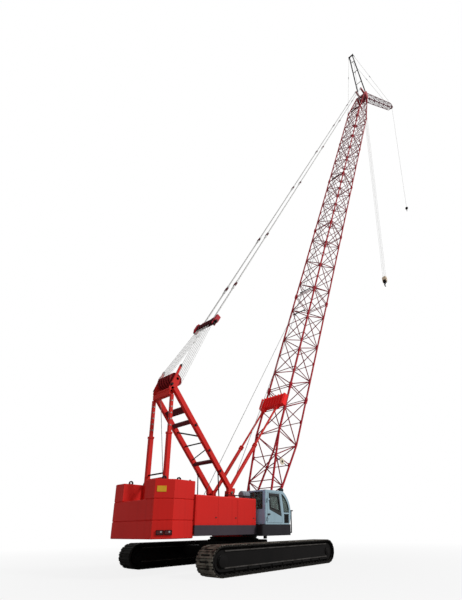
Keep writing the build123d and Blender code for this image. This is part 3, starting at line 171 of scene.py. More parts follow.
def wire_rope(name, colour, grease, metallic=0.3):
    """Galvanised wire rope: six strands laid round a core, dull zinc with dark grease between them. The
    strands are drawn 40 mm apart, coarser than real, so that they show."""
    strand_mm = 40
    material, shader, place = new_finish(name)
    lay = bands(material, place, strand_mm, "DIAGONAL", 1.5)
    tone, relief = mixed(material, lay, grease, colour), bump(material, lay, 0.5, 0.003)
    plug(material, shader, {"Base Color": tone, "Normal": relief, "Metallic": metallic, "Roughness": 0.5})
    return material


def moulded_rubber(name):
    """Moulded black rubber: matt, a little grey with age, with a fine mottle."""
    mottle_mm = 6
    material, shader, place = new_finish(name)
    mottle = noise(material, place, mottle_mm, 3.0)
    tone, relief = mixed(material, mottle, "141415", "242425"), bump(material, mottle, 0.2, 0.001)
    plug(material, shader, {"Base Color": tone, "Normal": relief, "Roughness": 0.75})
    return material


def lens_plastic(name, colour):
    """Ribbed clear plastic lamp glass: tinted, glossy, with ribs inside."""
    rib_mm = 8
    material, shader, place = new_finish(name)
    relief = bump(material, bands(material, place, rib_mm, "Z"), 0.4, 0.002)
    plug(material, shader, {"Base Color": linear(colour), "Normal": relief, "Roughness": 0.2})
    return material


def polished_chrome(name):
    """Chrome plate, a little hazy from washing."""
    haze_mm = 25
    material, shader, place = new_finish(name)
    gloss = remap(material, noise(material, place, haze_mm), to=(0.08, 0.2))
    plug(material, shader, {"Base Color": linear("c9cbcd"), "Metallic": 1.0, "Roughness": gloss})
    return material


def tinted_glass(name):
    """Tinted safety glass: clear green-grey, glossy, with faint swirls of dust."""
    swirl_mm = 300
    material, shader, place = new_finish(name)
    gloss = remap(material, noise(material, place, swirl_mm, 4.0), to=(0.02, 0.1))
    inputs = {"Base Color": linear("84938e"), "Roughness": gloss, "Transmission Weight": 0.8, "IOR": 1.45}
    plug(material, shader, inputs)
    return material


def woven_cloth(name):
    """Woven black seat cloth: a 3 mm check drawn coarser so that it shows, soft sheen."""
    check_mm = 12
    material, shader, place = new_finish(name)
    inputs = {"Vector": place, "Scale": 1000 / check_mm}
    inputs.update({"Color1": linear("26272b"), "Color2": linear("34353a")})
    tone = node(material, "TexChecker", inputs, "Color")
    plug(material, shader, {"Base Color": tone, "Roughness": 0.9, "Sheen Weight": 0.3})
    return material


def dress(material, *names):
    """Gives a finish to solids of the frame that keep their shape."""
    for name in names:
        for place in frame["nodes"][name].material_slots:
            place.material = material


chassis_black = sprayed_enamel("satin_black_chassis_enamel", "0b0a0a", "110f0f", 0.55, dust=0.04)
drum_black = sprayed_enamel("black_drum_enamel", "1b1b1d", "262629", 0.45, dust=0.1)
rail_black = sprayed_enamel("gloss_black_rail_enamel", "131314", "1c1c1e", 0.4, dust=0.05)
platform_grey = sprayed_enamel("dark_platform_enamel", "232226", "2d2c31", 0.5, dust=0.08)
charcoal = sprayed_enamel("charcoal_skirt_enamel", "3c353c", "433c43", 0.5, dust=0.03)
cleaner_grey = sprayed_enamel("grey_air_cleaner_enamel", "7f838c", "757982", 0.45)
machine_red = sprayed_enamel("signal_red_machine_enamel", "cb241f", "c52621", 0.5, dust=0.02)
# Painted light: the machine's red drawn brighter for the backstop beam, to lift the shade on its ribbed
# faces.
brightened_beam_red = sprayed_enamel("painted_light_beam_red_enamel", "f62828", "ea2a2a", 0.5)
boom_red = sprayed_enamel("deep_red_boom_enamel", "b3202c", "a62230", 0.45)
sheave_red = sprayed_enamel("dull_red_sheave_enamel", "8f1f22", "7c1c20", 0.5)
# Painted shade: the lacing is the same red as the chords, drawn as a darker wine for the shade on its thin
# tubes.
shaded_lacing_red = sprayed_enamel("painted_shade_lacing_enamel", "982634", "85232f", 0.5)
jib_wine = sprayed_enamel("dark_wine_jib_enamel", "6f2233", "5f202e", 0.5)
dark_wine = sprayed_enamel("shaded_wine_enamel", "5d1a22", "4c161e", 0.5)
cab_blue = sprayed_enamel("pale_blue_grey_cab_enamel", "96aeb9", "8ea6b1", 0.4)
# Painted light: the cab's own paint, drawn lighter and bluer for the rear wall to lift its shade and offset
# the red light bounced onto it.
lightened_blue = sprayed_enamel("lightened_blue_rear_wall_enamel", "a4bcd8", "98b0cc", 0.45)
plate_yellow = sprayed_enamel("yellow_plate_enamel", "d9a62c", "cf9f30", 0.4)
dial_cream = sprayed_enamel("cream_dial_enamel", "d9cdb4", "cfc3aa", 0.45)
hook_cream = sprayed_enamel("cream_hook_block_enamel", "e6d2b8", "dcc6aa", 0.45)
shoe_steel = cast_steel("earthy_cast_shoe_steel", "141211", "201d1a", 0.1, 0.6)
worn_steel = cast_steel("ground_worn_shoe_steel", "6a665d", "2c2824", 0.2, 0.5)
# Painted shade: a near-black copy of the shoe steel for the left track's flat bars, which lie in shadow.
dark_shade_shoe_steel = cast_steel("painted_shade_shoe_steel", "1d1b19", "141211", 0.1, 0.65)
running_steel = cast_steel("greasy_running_steel", "0f0e0e", "191715", 0.3, 0.55)
ledge_steel = cast_steel("dusty_ledge_steel", "454240", "302d2a", 0.1, 0.6)
pin_steel = cast_steel("bright_pin_steel", "8b8986", "6d6862", 0.7, 0.36)
hoist_rope = wire_rope("greased_hoist_rope", "8d8c8a", "5a5856")
# Painted light: galvanised rope drawn near white and not metallic, so that ropes seen from below, in shade,
# still look light.
lightened_rope = wire_rope("galvanised_lightened_rope", "f0f0ee", "d4d4d2", metallic=0.0)
seal_rubber = moulded_rubber("black_seal_rubber")
lamp_red = lens_plastic("red_lamp_glass", "4a1014")
chrome = polished_chrome("polished_lamp_chrome")
safety_glass = tinted_glass("tinted_safety_glass")
seat_cloth = woven_cloth("woven_seat_cloth")

dress(chassis_black, "carbody_frame", "track_frame_left", "track_frame_right")
dress(running_steel, "track_rollers")
dress(machine_red, "upper_frame", "house_left", "house_right", "gantry_front_legs", "gantry_back_legs")
dress(machine_red, "counterweight_base", "counterweight_middle")
dress(machine_red, "counterweight_top_left", "counterweight_top_right", "backstop_tubes", "backstop_rods")
# The backstop beam takes the brightened red: painted light.
dress(brightened_beam_red, "backstop_beam")
dress(pin_steel, "boom_foot_pins")
dress(charcoal, "house_skirts")
dress(drum_black, "engine_block", "lifting_lugs")
dress(rail_black, "gantry_braces")
dress(lamp_red, "rear_lamps")
dress(cab_blue, "cab_shell", "cab_door")
dress(platform_grey, "cab_platform")
dress(safety_glass, "cab_glass", "windscreen", "cab_door_glass")

# Shapes
# Bars, blocks, turned pieces, pipes and plates are collected into a piece, which then rides on a body.

both = (1, -1)
named_sides = ((1, "left"), (-1, "right"))
along_axis, across_axis = Vector((1, 0, 0)), Vector((0, 1, 0))


def across(distance):
    """A step to the machine's left."""
    return across_axis * distance


def up(distance):
    """A step upwards."""
    return Vector((0, 0, distance))


def leaning(degrees):
    """Direction in the machine's length plane, at an angle over the ground."""
    return Vector((cos(radians(degrees)), 0, sin(radians(degrees))))


def square(run):
    """Direction in the machine's length plane that is square to a run."""
    return Vector((-run.z, 0, run.x))


def turn_to(run):
    """Turn whose X lies along a run and whose Y lies across the machine."""
    return Matrix((run, across_axis, run.cross(across_axis))).transposed()


def axis_place(origin, direction):
    """Place at a point whose Z axis points along a direction."""
    return Matrix.Translation(origin) @ Vector(direction).to_track_quat("Z", "Y").to_matrix().to_4x4()


def side_place(origin, run, y=0.0):
    """Place in the machine's length plane: X along a run, Y square to it and Z to the right."""
    run = Vector(run).normalized()
    turn = Matrix((run, square(run), run.cross(square(run)))).transposed()
    return Matrix.Translation((origin[0], y, origin[2])) @ turn.to_4x4()


def around(steps):
    """Angles at even steps round a circle."""
    return [2 * pi * step / steps for step in range(steps)]


def mirrored(profile, across_height=0.0):
    """A turned piece's profile, followed by its mirror image."""
    return profile + [(radius, across_height - height) for radius, height in reversed(profile)]


def skin(bm, rings, hollow=False):
    """Adds a skin over rings of points, closed at both ends, or closed on itself where it is hollow."""
    rings = [[bm.verts.new(spot) for spot in ring] for ring in rings]
    count = len(rings[0])
    for low, high in zip(rings, rings[1:] + (rings[:1] if hollow else [])):
        for number in range(count):
            after = (number + 1) % count
            bm.faces.new((low[number], low[after], high[after], high[number]))
    if not hollow:
        bm.faces.new(rings[0][::-1])
        bm.faces.new(rings[-1])


def turned(bm, profile, place, sides, hollow=False):
    """Adds a turned piece: (radius, height) pairs spun about the place's Z axis, closed at both ends,
    or a ring whose last pair joins the first where it is hollow."""
    spin = [(cos(angle), sin(angle)) for angle in around(sides)]
    skin(bm, [[place @ Vector((r * c, r * s, z)) for c, s in spin] for r, z in profile], hollow)


def cylinder(bm, start, end, radius, sides):
    """Adds a closed round bar between two points."""
    line = Vector(end) - Vector(start)
    turned(bm, [(radius, 0), (radius, line.length)], axis_place(start, line), sides)


def axle(bm, centre, half, radius, sides):
    """Adds a round bar across the machine, about its centre."""
    cylinder(bm, centre - across(half), centre + across(half), radius, sides)


def block(bm, centre, size, turn=None):
    """Adds a rectangular block about its centre, turned by a rotation matrix where one is given."""
    place = Matrix.Translation(centre) @ (turn.to_4x4() if turn else Matrix())
    bmesh.ops.create_cube(bm, size=1, matrix=place @ Matrix.Diagonal((*size, 1)))


def plate(bm, outline, place, depth):
    """Adds a plate: an outline in the place's X and Y, as thick as depth about its middle."""
    low, high = (
        [bm.verts.new(place @ Vector((x, y, z))) for x, y in outline] for z in (-depth / 2, depth / 2)
    )
    bm.faces.new(low[::-1])
    bm.faces.new(high)
    for number in range(len(outline)):
        after = (number + 1) % len(outline)
        bm.faces.new((low[number], low[after], high[after], high[number]))


def wrapped(circles, steps=24):
    """Outline of a belt wrapped round circles of (x, y, radius)."""
    spots = set()
    for x, y, radius in circles:
        spots |= {(round(x + radius * cos(a), 6), round(y + radius * sin(a), 6)) for a in around(steps)}
    spots = sorted(spots)
    outline = []
    for row in (spots, spots[::-1]):
        chain = []
        for x, y in row:
            while len(chain) > 1:
                (x0, y0), (x1, y1) = chain[-2:]
                if (x1 - x0) * (y - y0) - (y1 - y0) * (x - x0) > 1e-12:
                    break
                chain.pop()
            chain.append((x, y))
        outline += chain[:-1]
    return outline


def pipe(bm, points, radius, sides=10):
    """Adds a bent pipe along a list of points, mitred at its corners and closed at its ends."""
    points = [Vector(point) for point in points]
    runs = [(b - a).normalized() for a, b in zip(points, points[1:])]
    upright = up(1) if abs(runs[0].z) < 0.9 else across_axis
    rings = []
    for point, before, after in zip(points, runs[:1] + runs, runs + runs[-1:]):
        along = (before + after).normalized()
        stretch = 1 / max(0.5, along.dot(before))
        flank = upright.cross(along)
        flank = flank.normalized() if flank.length > 0.01 else across_axis
        lift = along.cross(flank)
        bend = after - before
        ring = []
        for angle in around(sides):
            offset = flank * (radius * cos(angle)) + lift * (radius * sin(angle))
            if bend.length > 1e-6:
                out = (bend - along * bend.dot(along)).normalized()
                offset += out * (offset.dot(out) * (stretch - 1))
            ring.append(point + offset)
        rings.append(ring)
    skin(bm, rings)


def sheaves(bm, centre, count, spacing, radius, width):
    """Adds a row of rope sheaves across the machine, each a grooved rim, a thin web and a hub."""
    half = width / 2
    profile = [(0.3, -half), (0.3, -half * 0.5), (0.8, -half * 0.45), (0.84, -half), (1.0, -half)]
    profile = [(share * radius, height) for share, height in profile]
    profile += [(0.9 * radius, 0.0)] + [(r, -z) for r, z in reversed(profile)]
    for number in range(count):
        place = axis_place(centre + across((number - (count - 1) / 2) * spacing), across_axis)
        turned(bm, profile, place, 36)


@contextmanager
def tinted(bm, index):
    """Gives the faces that are added inside it another of the piece's finishes."""
    first = len(bm.faces)
    yield
    bm.faces.ensure_lookup_table()
    for face in bm.faces[first:]:
        face.material_index = index


def make(name, bm, materials, body, replaces=(), bevel=0.0, ends=None):
    """Turns collected faces into a piece that rides on a body, or, where ends are given, stays fixed where
    it is drawn; it may stand for solids of the frame, which it hides."""
    sharp_edge, bevelled_edge = radians(35), radians(40)
    bmesh.ops.recalc_face_normals(bm, faces=bm.faces)
    mesh = bpy.data.meshes.new(name)
    bm.to_mesh(mesh)
    bm.free()
    for material in materials:
        mesh.materials.append(material)
    mesh.shade_smooth()
    mesh.set_sharp_from_angle(angle=sharp_edge)
    piece = bpy.data.objects.new(name, mesh)
    scene.collection.objects.link(piece)
    if bevel:
        rounded = piece.modifiers.new("rounded_edges", "BEVEL")
        rounded.width = bevel
        rounded.segments = 2
        rounded.limit_method = "ANGLE"
        rounded.angle_limit = bevelled_edge
    if ends:
        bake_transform(piece)
    else:
        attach(piece, body)
    if replaces:
        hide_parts(*replaces)
    return piece


# Carbody and slewing ring
# A welded box of thick plate between the tracks, sprayed satin black and dusty on its ledges. The
# machined ring on its top is held down by a close circle of hexagon bolts.

carbody_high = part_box("carbody_frame")[1]
ring_low, ring_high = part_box("slew_ring")
ring_radius, ring_bore = 0.545, 0.4
ring_middle = (ring_low.z + ring_high.z) / 2
half_ring = [(ring_bore, ring_low.z), (ring_radius, ring_low.z), (ring_radius, ring_middle - 0.008)]
half_ring.append((ring_radius - 0.015, ring_middle - 0.003))
ring = bmesh.new()
turned(ring, mirrored(half_ring, ring_low.z + ring_high.z), Matrix(), 72, hollow=True)
make("slewing_ring_races", ring, [chassis_black], "undercarriage", replaces=["slew_ring"])

ring_bolts, bolt_circle = 48, 0.575
pin_radius = 0.05
beam_x, beam_top = 0.43, 0.455
fasteners = bmesh.new()
for angle in around(ring_bolts):
    foot = Vector((bolt_circle * cos(angle), bolt_circle * sin(angle), carbody_high.z))
    cylinder(fasteners, foot, foot + up(0.022), 0.011, 6)
for side in both:
    for x in (beam_x, -beam_x):
        for shift in (-0.09, 0.09):
            top = Vector((x + shift, side * (carbody_high.y - 0.07), beam_top))
            cylinder(fasteners, top - up(0.01), top + up(0.035), pin_radius, 20)
            block(fasteners, top + up(0.04), (0.13, 0.02, 0.012))
    for x in (-0.28, 0.0, 0.28):
        block(fasteners, (x, side * 0.702, 0.4), (0.16, 0.012, 0.2))
make("carbody_fasteners", fasteners, [chassis_black], "undercarriage", bevel=0.002)

# Track shoes
# Wide cast steel shoes, pinned to each other in a closed loop. Each has two flat bars worn bright by
# the ground, a dished middle that holds dirt, and two lugs inside that run between the rollers. On the
# left track the bars are drawn near black instead: painted shade for the far track, which lies in shadow.

track_length, track_height, track_gauge = 3.92, 0.534, 2.59
shoe_width, shoe_thickness = 0.446, 0.06
wheel_radius = track_height / 2
wheel_offset = track_length / 2 - wheel_radius
straight = 2 * wheel_offset
loop_length = 2 * straight + 2 * pi * wheel_radius
shoe_count = 72
shoe_pitch = loop_length / shoe_count
arc_inset = 0.005


def on_loop(distance):
    """Place on the outside of the track loop: X along its travel, Y across it and Z out of it."""
    distance = (distance + straight / 2) % loop_length
    turn = pi * wheel_radius
    if distance < straight:
        x, angle = distance - straight / 2, pi
    elif distance < straight + turn:
        x, angle = wheel_offset, pi - (distance - straight) / wheel_radius
    elif distance < 2 * straight + turn:
        x, angle = straight / 2 - (distance - straight - turn), 0.0
    else:
        x, angle = -wheel_offset, -(distance - 2 * straight - turn) / wheel_radius
    lift = Matrix.Translation(up(wheel_radius - (arc_inset if abs(x) >= wheel_offset else 0.0)))
    return Matrix.Translation((x, 0, wheel_radius)) @ Matrix.Rotation(angle, 4, "Y") @ lift


shoe_length = shoe_pitch - 0.013
bar_length, bar_height = 0.036, 0.014
shoe = bmesh.new()
block(shoe, (0, 0, -bar_height - 0.011), (shoe_length, shoe_width - 0.004, 0.022))
for side in both:
    block(shoe, (0, side * 0.11, -bar_height - 0.033), (0.07, 0.04, 0.026))
    cylinder(shoe, (-0.05, side * 0.165, -0.036), (0.05, side * 0.165, -0.036), 0.011, 8)
    cylinder(shoe, (0, side * 0.19, -bar_height), (0, side * 0.19, -bar_height + 0.008), 0.012, 6)
    block(shoe, (0, side * 0.09, -bar_height - 0.045), (shoe_length + 0.02, 0.03, 0.046))
with tinted(shoe, 1):
    for end in (-1, 1):
        middle = end * (shoe_length - bar_length) / 2
        block(shoe, (middle, 0, -bar_height / 2), (bar_length, shoe_width - 0.02, bar_height))
        for side in both:
            wing = (middle - end * 0.012, side * 0.15, -bar_height / 2 - 0.001)
            block(shoe, wing, (bar_length + 0.02, 0.07, bar_height - 0.002))
shoe_mesh = bpy.data.meshes.new("one_shoe")
shoe.to_mesh(shoe_mesh)
shoe.free()
for side, name in named_sides:
    loop = bmesh.new()
    for number in range(shoe_count):
        copy = shoe_mesh.copy()
        copy.transform(Matrix.Translation(across(side * track_gauge / 2)) @ on_loop(number * shoe_pitch))
        loop.from_mesh(copy)
        bpy.data.meshes.remove(copy)
    # The left track's bars take the dark steel in place of the worn bright one, as painted shade.
    steels = [shoe_steel, worn_steel if side < 0 else dark_shade_shoe_steel]
    shoes = f"track_shoes_{name}"
    make(shoes, loop, steels, "undercarriage", replaces=[f"track_{name}"], bevel=0.003)
bpy.data.meshes.remove(shoe_mesh)

# Track frames
# Long welded side frames that carry the rollers, the idler at the front and the drive at the rear.
# Dusty flat ledges run along their edges, and each roller's axle ends in a bolted keeper.

frame_half_width, frame_top, frame_bottom = 0.17, 0.45, 0.096
rollers_below = 9
roller_reach = wheel_offset - 0.33
axle_height = shoe_thickness + 0.058
drive_bolts, drive_circle = 16, 0.107
keeper = [(0.03, 0), (0.03, 0.012), (0.02, 0.012), (0.02, 0.02)]
idler_cap = [(0.085, 0), (0.085, 0.018), (0.05, 0.024), (0.05, 0.034)]
drive_cap = [(0.115, 0), (0.115, 0.014), (0.1, 0.022), (0.1, 0.04), (0.06, 0.046)]
for side, name in named_sides:
    fittings = bmesh.new()
    for face in both:
        outer = side * track_gauge / 2 + face * frame_half_width
        out = across(face)
        with tinted(fittings, 1):
            for height, depth in ((frame_top - 0.014, 0.022), (frame_bottom + 0.06, 0.016)):
                block(fittings, (0, outer + face * depth / 2, height), (straight - 0.1, depth, 0.022))
        for number in range(rollers_below):
            x = (number / (rollers_below - 1) * 2 - 1) * roller_reach
            turned(fittings, keeper, axis_place((x, outer, axle_height), out), 16)
        turned(fittings, idler_cap, axis_place((wheel_offset, outer, wheel_radius), out), 24)
        drive = Vector((-wheel_offset, outer, wheel_radius))
        turned(fittings, drive_cap, axis_place(drive, out), 32)
        for angle in around(drive_bolts):
            spot = drive + Vector((drive_circle * cos(angle), 0, drive_circle * sin(angle)))
            cylinder(fittings, spot, spot + out * 0.024, 0.007, 6)
    steels = [chassis_black, ledge_steel]
    make(f"track_frame_fittings_{name}", fittings, steels, "undercarriage", bevel=0.0015)

rim = 0.2067
sprocket_teeth = 14
idler_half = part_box("idler_wheels")[1].y - track_gauge / 2
drive_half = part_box("drive_sprockets")[1].y - track_gauge / 2
idler = [(0.05, -idler_half), (0.08, -idler_half), (0.09, -idler_half * 0.5)]
idler += [(rim - 0.03, -idler_half * 0.5), (rim - 0.02, -idler_half), (rim, -idler_half * 0.9)]
sprocket = [(0.11, -drive_half), (rim - 0.045, -drive_half), (rim - 0.035, -drive_half * 0.8)]
idlers, drives = bmesh.new(), bmesh.new()
for side in both:
    front, rear = (Vector((end * wheel_offset, side * track_gauge / 2, wheel_radius)) for end in both)
    turned(idlers, mirrored(idler), axis_place(front, across_axis), 48)
    turned(drives, mirrored(sprocket), axis_place(rear, across_axis), 48)
    for angle in around(sprocket_teeth):
        turn = Matrix.Rotation(angle, 3, "Y")
        block(drives, rear + turn @ up(rim - 0.024), (0.036, 1.5 * drive_half, 0.044), turn)
greasy = [running_steel]
make("dished_idlers", idlers, greasy, "undercarriage", replaces=["idler_wheels"])
teeth = "toothed_drive_sprockets"
make(teeth, drives, greasy, "undercarriage", replaces=["drive_sprockets"], bevel=0.003)

# Deck and winch drums
# The slewing upper frame is a thick deck plate with two pairs of girder plates that hold the boom's
# foot and the gantry's brackets. Three cast drums between them are wound with layers of wire rope.

# Painted shade: thin black sheets under the red deck's sides, for the dark seen beneath the skirts.
under_deck_shade = bmesh.new()
for side in both:
    block(under_deck_shade, (-1.2, side * 0.71, 0.687), (1.3, 0.38, 0.006))
make("painted_shade_under_deck", under_deck_shade, [chassis_black], "upper")

drum_centres = (-1.56, -1.06, -0.18)
drum_height = 0.955
drum_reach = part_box("winch_drums")[1].y
barrel_radius, wound_radius = 0.16, 0.172
rope_turns = 30
flange_inner = drum_reach - 0.066
flange = [(0.12, 0), (0.12, 0.036), (0.2, 0.04), (0.205, 0.05), (0.2, 0.064), (barrel_radius, 0.066)]
half = flange_inner / rope_turns
rope_turn = mirrored([(barrel_radius, -half), (wound_radius, -half * 0.4)])
drums = bmesh.new()
for x in drum_centres:
    place = axis_place((x, -drum_reach, drum_height), across_axis)
    turned(drums, mirrored(flange, 2 * drum_reach), place, 40)
with tinted(drums, 1):
    for x in drum_centres:
        for number in range(rope_turns):
            y = (number + 0.5) / rope_turns * 2 * flange_inner - flange_inner
            turned(drums, rope_turn, axis_place((x, y, drum_height), across_axis), 28)
make("wound_winch_drums", drums, [drum_black, hoist_rope], "upper", replaces=["winch_drums"])

# House covers and skirts
# Folded sheet covers over the engine and the pumps, red above and charcoal along the bottom, with
# flush doors, pressed louvres on the radiator's side and small black latches.

house_low, house_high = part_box("house_right")
house_side = -house_low.y
house_doors, door_gap = 3, 0.004
door_bottom, door_top = house_low.z + 0.02, house_high.z - 0.03
door_length = (house_high.x - house_low.x - 0.04) / house_doors
for side, name in named_sides:
    doors = bmesh.new()
    for number in range(house_doors):
        x = house_low.x + 0.02 + (number + 0.5) * door_length
        middle = (x, side * (house_side + 0.0015), (door_bottom + door_top) / 2)
        block(doors, middle, (door_length - door_gap, 0.003, door_top - door_bottom))
    with tinted(doors, 1):
        for number in range(house_doors):
            x = house_low.x + 0.02 + (number + 1) * door_length - 0.05
            block(doors, (x, side * (house_side + 0.007), door_bottom + 0.12), (0.035, 0.01, 0.016))
    make(f"house_doors_{name}", doors, [machine_red, seal_rubber], "upper", bevel=0.001)

louvre_rows, louvre_pitch = 9, 0.036
louvre_turn = Matrix.Rotation(radians(35), 3, "X")
louvres = bmesh.new()
for number in range(louvre_rows):
    for x in (-1.6, -1.07):
        middle = (x, house_side + 0.012, door_bottom + 0.1 + number * louvre_pitch)
        block(louvres, middle, (0.36, 0.004, 0.036), louvre_turn)
make("radiator_louvres", louvres, [machine_red], "upper", bevel=0.001)

# Roof rails and exhaust
# A low black pipe rail along the front of each house roof, an exhaust stack over the engine, a ribbed
# hatch on each roof and the round air cleaner behind the cab.

roof = house_high.z
rail_top = roof + 0.042
rail_rear, rail_front = -1.08, -0.31
rails = bmesh.new()
for side in both:
    y = side * 0.87
    bends = [(rail_rear, roof), (rail_rear, rail_top), (rail_front, rail_top), (rail_front, roof)]
    pipe(rails, [(x, y, z) for x, z in bends], 0.011)
    for share in (0.33, 0.67):
        x = rail_rear + share * (rail_front - rail_rear)
        cylinder(rails, (x, y, roof), (x, y, rail_top), 0.009, 10)
make("roof_rails", rails, [rail_black], "upper")

stack_profile = [(0.09, 0), (0.09, 0.012), (0.055, 0.02), (0.055, 0.13), (0.062, 0.135), (0.062, 0.15)]
stack_profile += [(0.05, 0.155), (0.05, 0.06)]
stack = bmesh.new()
turned(stack, stack_profile, Matrix.Translation((-1.62, 0.72, roof)), 24)
for side in both:
    for number in range(4):
        block(stack, (-1.5 + number * 0.09, side * 0.66, roof + 0.005), (0.03, 0.22, 0.01))
make("exhaust_and_hatch_ribs", stack, [rail_black], "upper", bevel=0.003)

cleaner_low, cleaner_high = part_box("air_cleaner")
can_radius, can_length = 0.085, cleaner_high.x - cleaner_low.x
can_at = Vector((cleaner_low.x, (cleaner_low.y + cleaner_high.y) / 2, cleaner_high.z - can_radius))
can_profile = [(0.05, 0), (can_radius - 0.012, 0.004), (can_radius, 0.02), (can_radius, 0.06)]
can_profile += [(can_radius - 0.006, 0.064), (can_radius - 0.006, 0.072), (can_radius, 0.076)]
can_profile += [(can_radius, can_length - 0.02), (can_radius - 0.012, can_length - 0.004), (0.05, can_length)]
cleaner = bmesh.new()
turned(cleaner, can_profile, axis_place(can_at, along_axis), 40)
foot_height = can_at.z - cleaner_low.z
block(cleaner, can_at + Vector((can_length / 2, 0, -foot_height / 2)), (0.14, 0.09, foot_height))
make("banded_air_cleaner", cleaner, [cleaner_grey], "upper", replaces=["air_cleaner"])

# Counterweight, rear lamps and plate
# Two cast slabs and a pair of top blocks, stacked on the tail and tied down by rods. Red lamp glasses
# in dark frames sit on the base slab's chamfered corners, and a blank yellow plate on the right block.

tail_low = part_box("counterweight_base")[0]
block_low, block_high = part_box("counterweight_top_right")
ties = bmesh.new()
for side in both:
    foot = Vector((block_high.x - 0.06, side * 0.8, block_high.z))
    cylinder(ties, foot, foot + up(0.01), 0.03, 24)
    cylinder(ties, foot + up(0.01), foot + up(0.026), 0.02, 6)
make("counterweight_tie_nuts", ties, [drum_black], "upper", bevel=0.002)

tail_rear_half, tail_half, chamfer_length = 0.683, 0.886, 0.27


def chamfer_place(side, along, height):
    """Place on the tail's chamfered corner: X along the corner's face, Y up and Z out of it."""
    run = Vector((chamfer_length, side * (tail_half - tail_rear_half), 0)).normalized()
    out = Vector((-run.y, run.x, 0)) * side
    middle = Vector((tail_low.x + chamfer_length / 2, side * (tail_half + tail_rear_half) / 2, height))
    turn = Matrix((run, up(1), out)).transposed()
    return Matrix.Translation(middle + run * along) @ turn.to_4x4()


lamp_height = tail_low.z + 0.11
lamp_places = [chamfer_place(side, along, lamp_height) for side in both for along in (-0.03, 0.11)]
bezels = bmesh.new()
for place in lamp_places:
    for y in (0.034, -0.034):
        block(bezels, place @ Vector((0, y, 0.011)), (0.124, 0.01, 0.022), place.to_3x3())
    for x in (-0.058, 0.058):
        block(bezels, place @ Vector((x, 0, 0.011)), (0.01, 0.078, 0.022), place.to_3x3())
with tinted(bezels, 1):
    for place in lamp_places:
        start, end = (place @ Vector((0.02, 0.01, z)) for z in (0.016, 0.022))
        cylinder(bezels, start, end, 0.016, 16)
make("lamp_bezels", bezels, [rail_black, chrome], "upper", bevel=0.002)

blank = bmesh.new()
place = chamfer_place(-1, -0.05, (block_low.z + block_high.z) / 2 - 0.004)
block(blank, place @ up(0.002), (0.16, 0.105, 0.005), place.to_3x3())
for x in (-0.07, 0.07):
    for y in (-0.044, 0.044):
        cylinder(blank, place @ Vector((x, y, 0.004)), place @ Vector((x, y, 0.008)), 0.005, 10)
make("blank_yellow_plate", blank, [plate_yellow], "upper", bevel=0.001)

# Gantry
# Box-section front legs with wide cross plates, drawn darker as painted shade, and thin black braces,
# telescoping back legs pinned through rows of holes, all in red, and a head whose cheeks carry the boom
# hoist's sheaves.

# The cross plates' faces take the shaded wine enamel: painted shade for their dark lower faces.
cross_plate_reach = 0.28
legs_mesh = frame["nodes"]["gantry_front_legs"].data
legs_mesh.materials.append(dark_wine)
for face in legs_mesh.polygons:
    if abs(face.center.y) < cross_plate_reach:
        face.material_index = len(legs_mesh.materials) - 1

gantry_foot, gantry_top = Vector((-0.453, 0, 1.585)), Vector((-2.131, 0, 3.628))
gantry_half, leg_front = 0.34, 0.052
back_x, back_half, inner_leg = -2.162, 0.32, 0.03
rake = (gantry_top - gantry_foot).normalized()
rake_out = -square(rake)
leg_turn = Matrix((across_axis, rake, rake_out)).transposed()


def on_gantry(share, side, out=0.0):
    """Point on the front legs, from foot to head, across them and out of their front."""
    return gantry_foot.lerp(gantry_top, share) + across(side) + rake_out * out


tie_bar_height = 1.865
brackets = bmesh.new()
for side in both:
    for share in (0.22, 0.42, 0.66):
        front = on_gantry(share, side * gantry_half, leg_front + 0.012)
        block(brackets, front, (0.06, 0.07, 0.026), leg_turn)
        block(brackets, on_gantry(share, side * (gantry_half + 0.05)), (0.016, 0.05, 0.05), leg_turn)
    cylinder(brackets, on_gantry(0.24, side * gantry_half), (-0.8, side * 0.37, 1.2), 0.012, 10)
axle(brackets, Vector((back_x, 0, tie_bar_height)), 0.3, 0.016, 12)
make("gantry_leg_brackets", brackets, [rail_black], "upper", bevel=0.002)

pin_rows, pin_base, pin_pitch, pin_height = 5, 2.82, 0.13, 0.004
pins = bmesh.new()
for side in both:
    for number in range(pin_rows):
        hole = Vector((back_x, side * back_half, pin_base + number * pin_pitch))
        for out in (across_axis, -across_axis, -along_axis):
            cylinder(pins, hole + out * inner_leg, hole + out * (inner_leg + pin_height), 0.018, 14)
    axle(pins, gantry_foot + across(side * gantry_half), 0.06, 0.03, 20)
make("gantry_pins", pins, [pin_steel], "upper", bevel=0.001)
fold_rope = bmesh.new()
cylinder(fold_rope, (-2.11, 0.15, 3.47), (-2.11, -0.15, 1.78), 0.006, 8)
make("gantry_fold_rope", fold_rope, [hoist_rope], "upper")

hoist_at = Vector((-2.031, 0, 3.878))
hoist_parts, hoist_spacing, hoist_radius = 6, 0.084, 0.15
cheek_inner, cheek_depth = 0.298, 0.024
head_shift = hoist_at - gantry_top
cheek = wrapped([(0, 0, 0.09), (head_shift.x, head_shift.z, 0.06)])
head = bmesh.new()
for side in both:
    y = side * (cheek_inner - cheek_depth / 2)
    plate(head, cheek, side_place(gantry_top, along_axis, y), cheek_depth)
axle(head, gantry_top, cheek_inner, 0.045, 24)
block(head, (back_x, 0, 3.528), (0.1, 2 * cheek_inner, 0.1))
with tinted(head, 1):
    sheaves(head, hoist_at, hoist_parts, hoist_spacing, hoist_radius, 0.04)
with tinted(head, 2):
    axle(head, hoist_at, cheek_inner, 0.035, 20)
head_finish = [machine_red, sheave_red, pin_steel]
head_name = "gantry_head_with_sheaves"
make(head_name, head, head_finish, "upper", replaces=["gantry_head"], bevel=0.003)

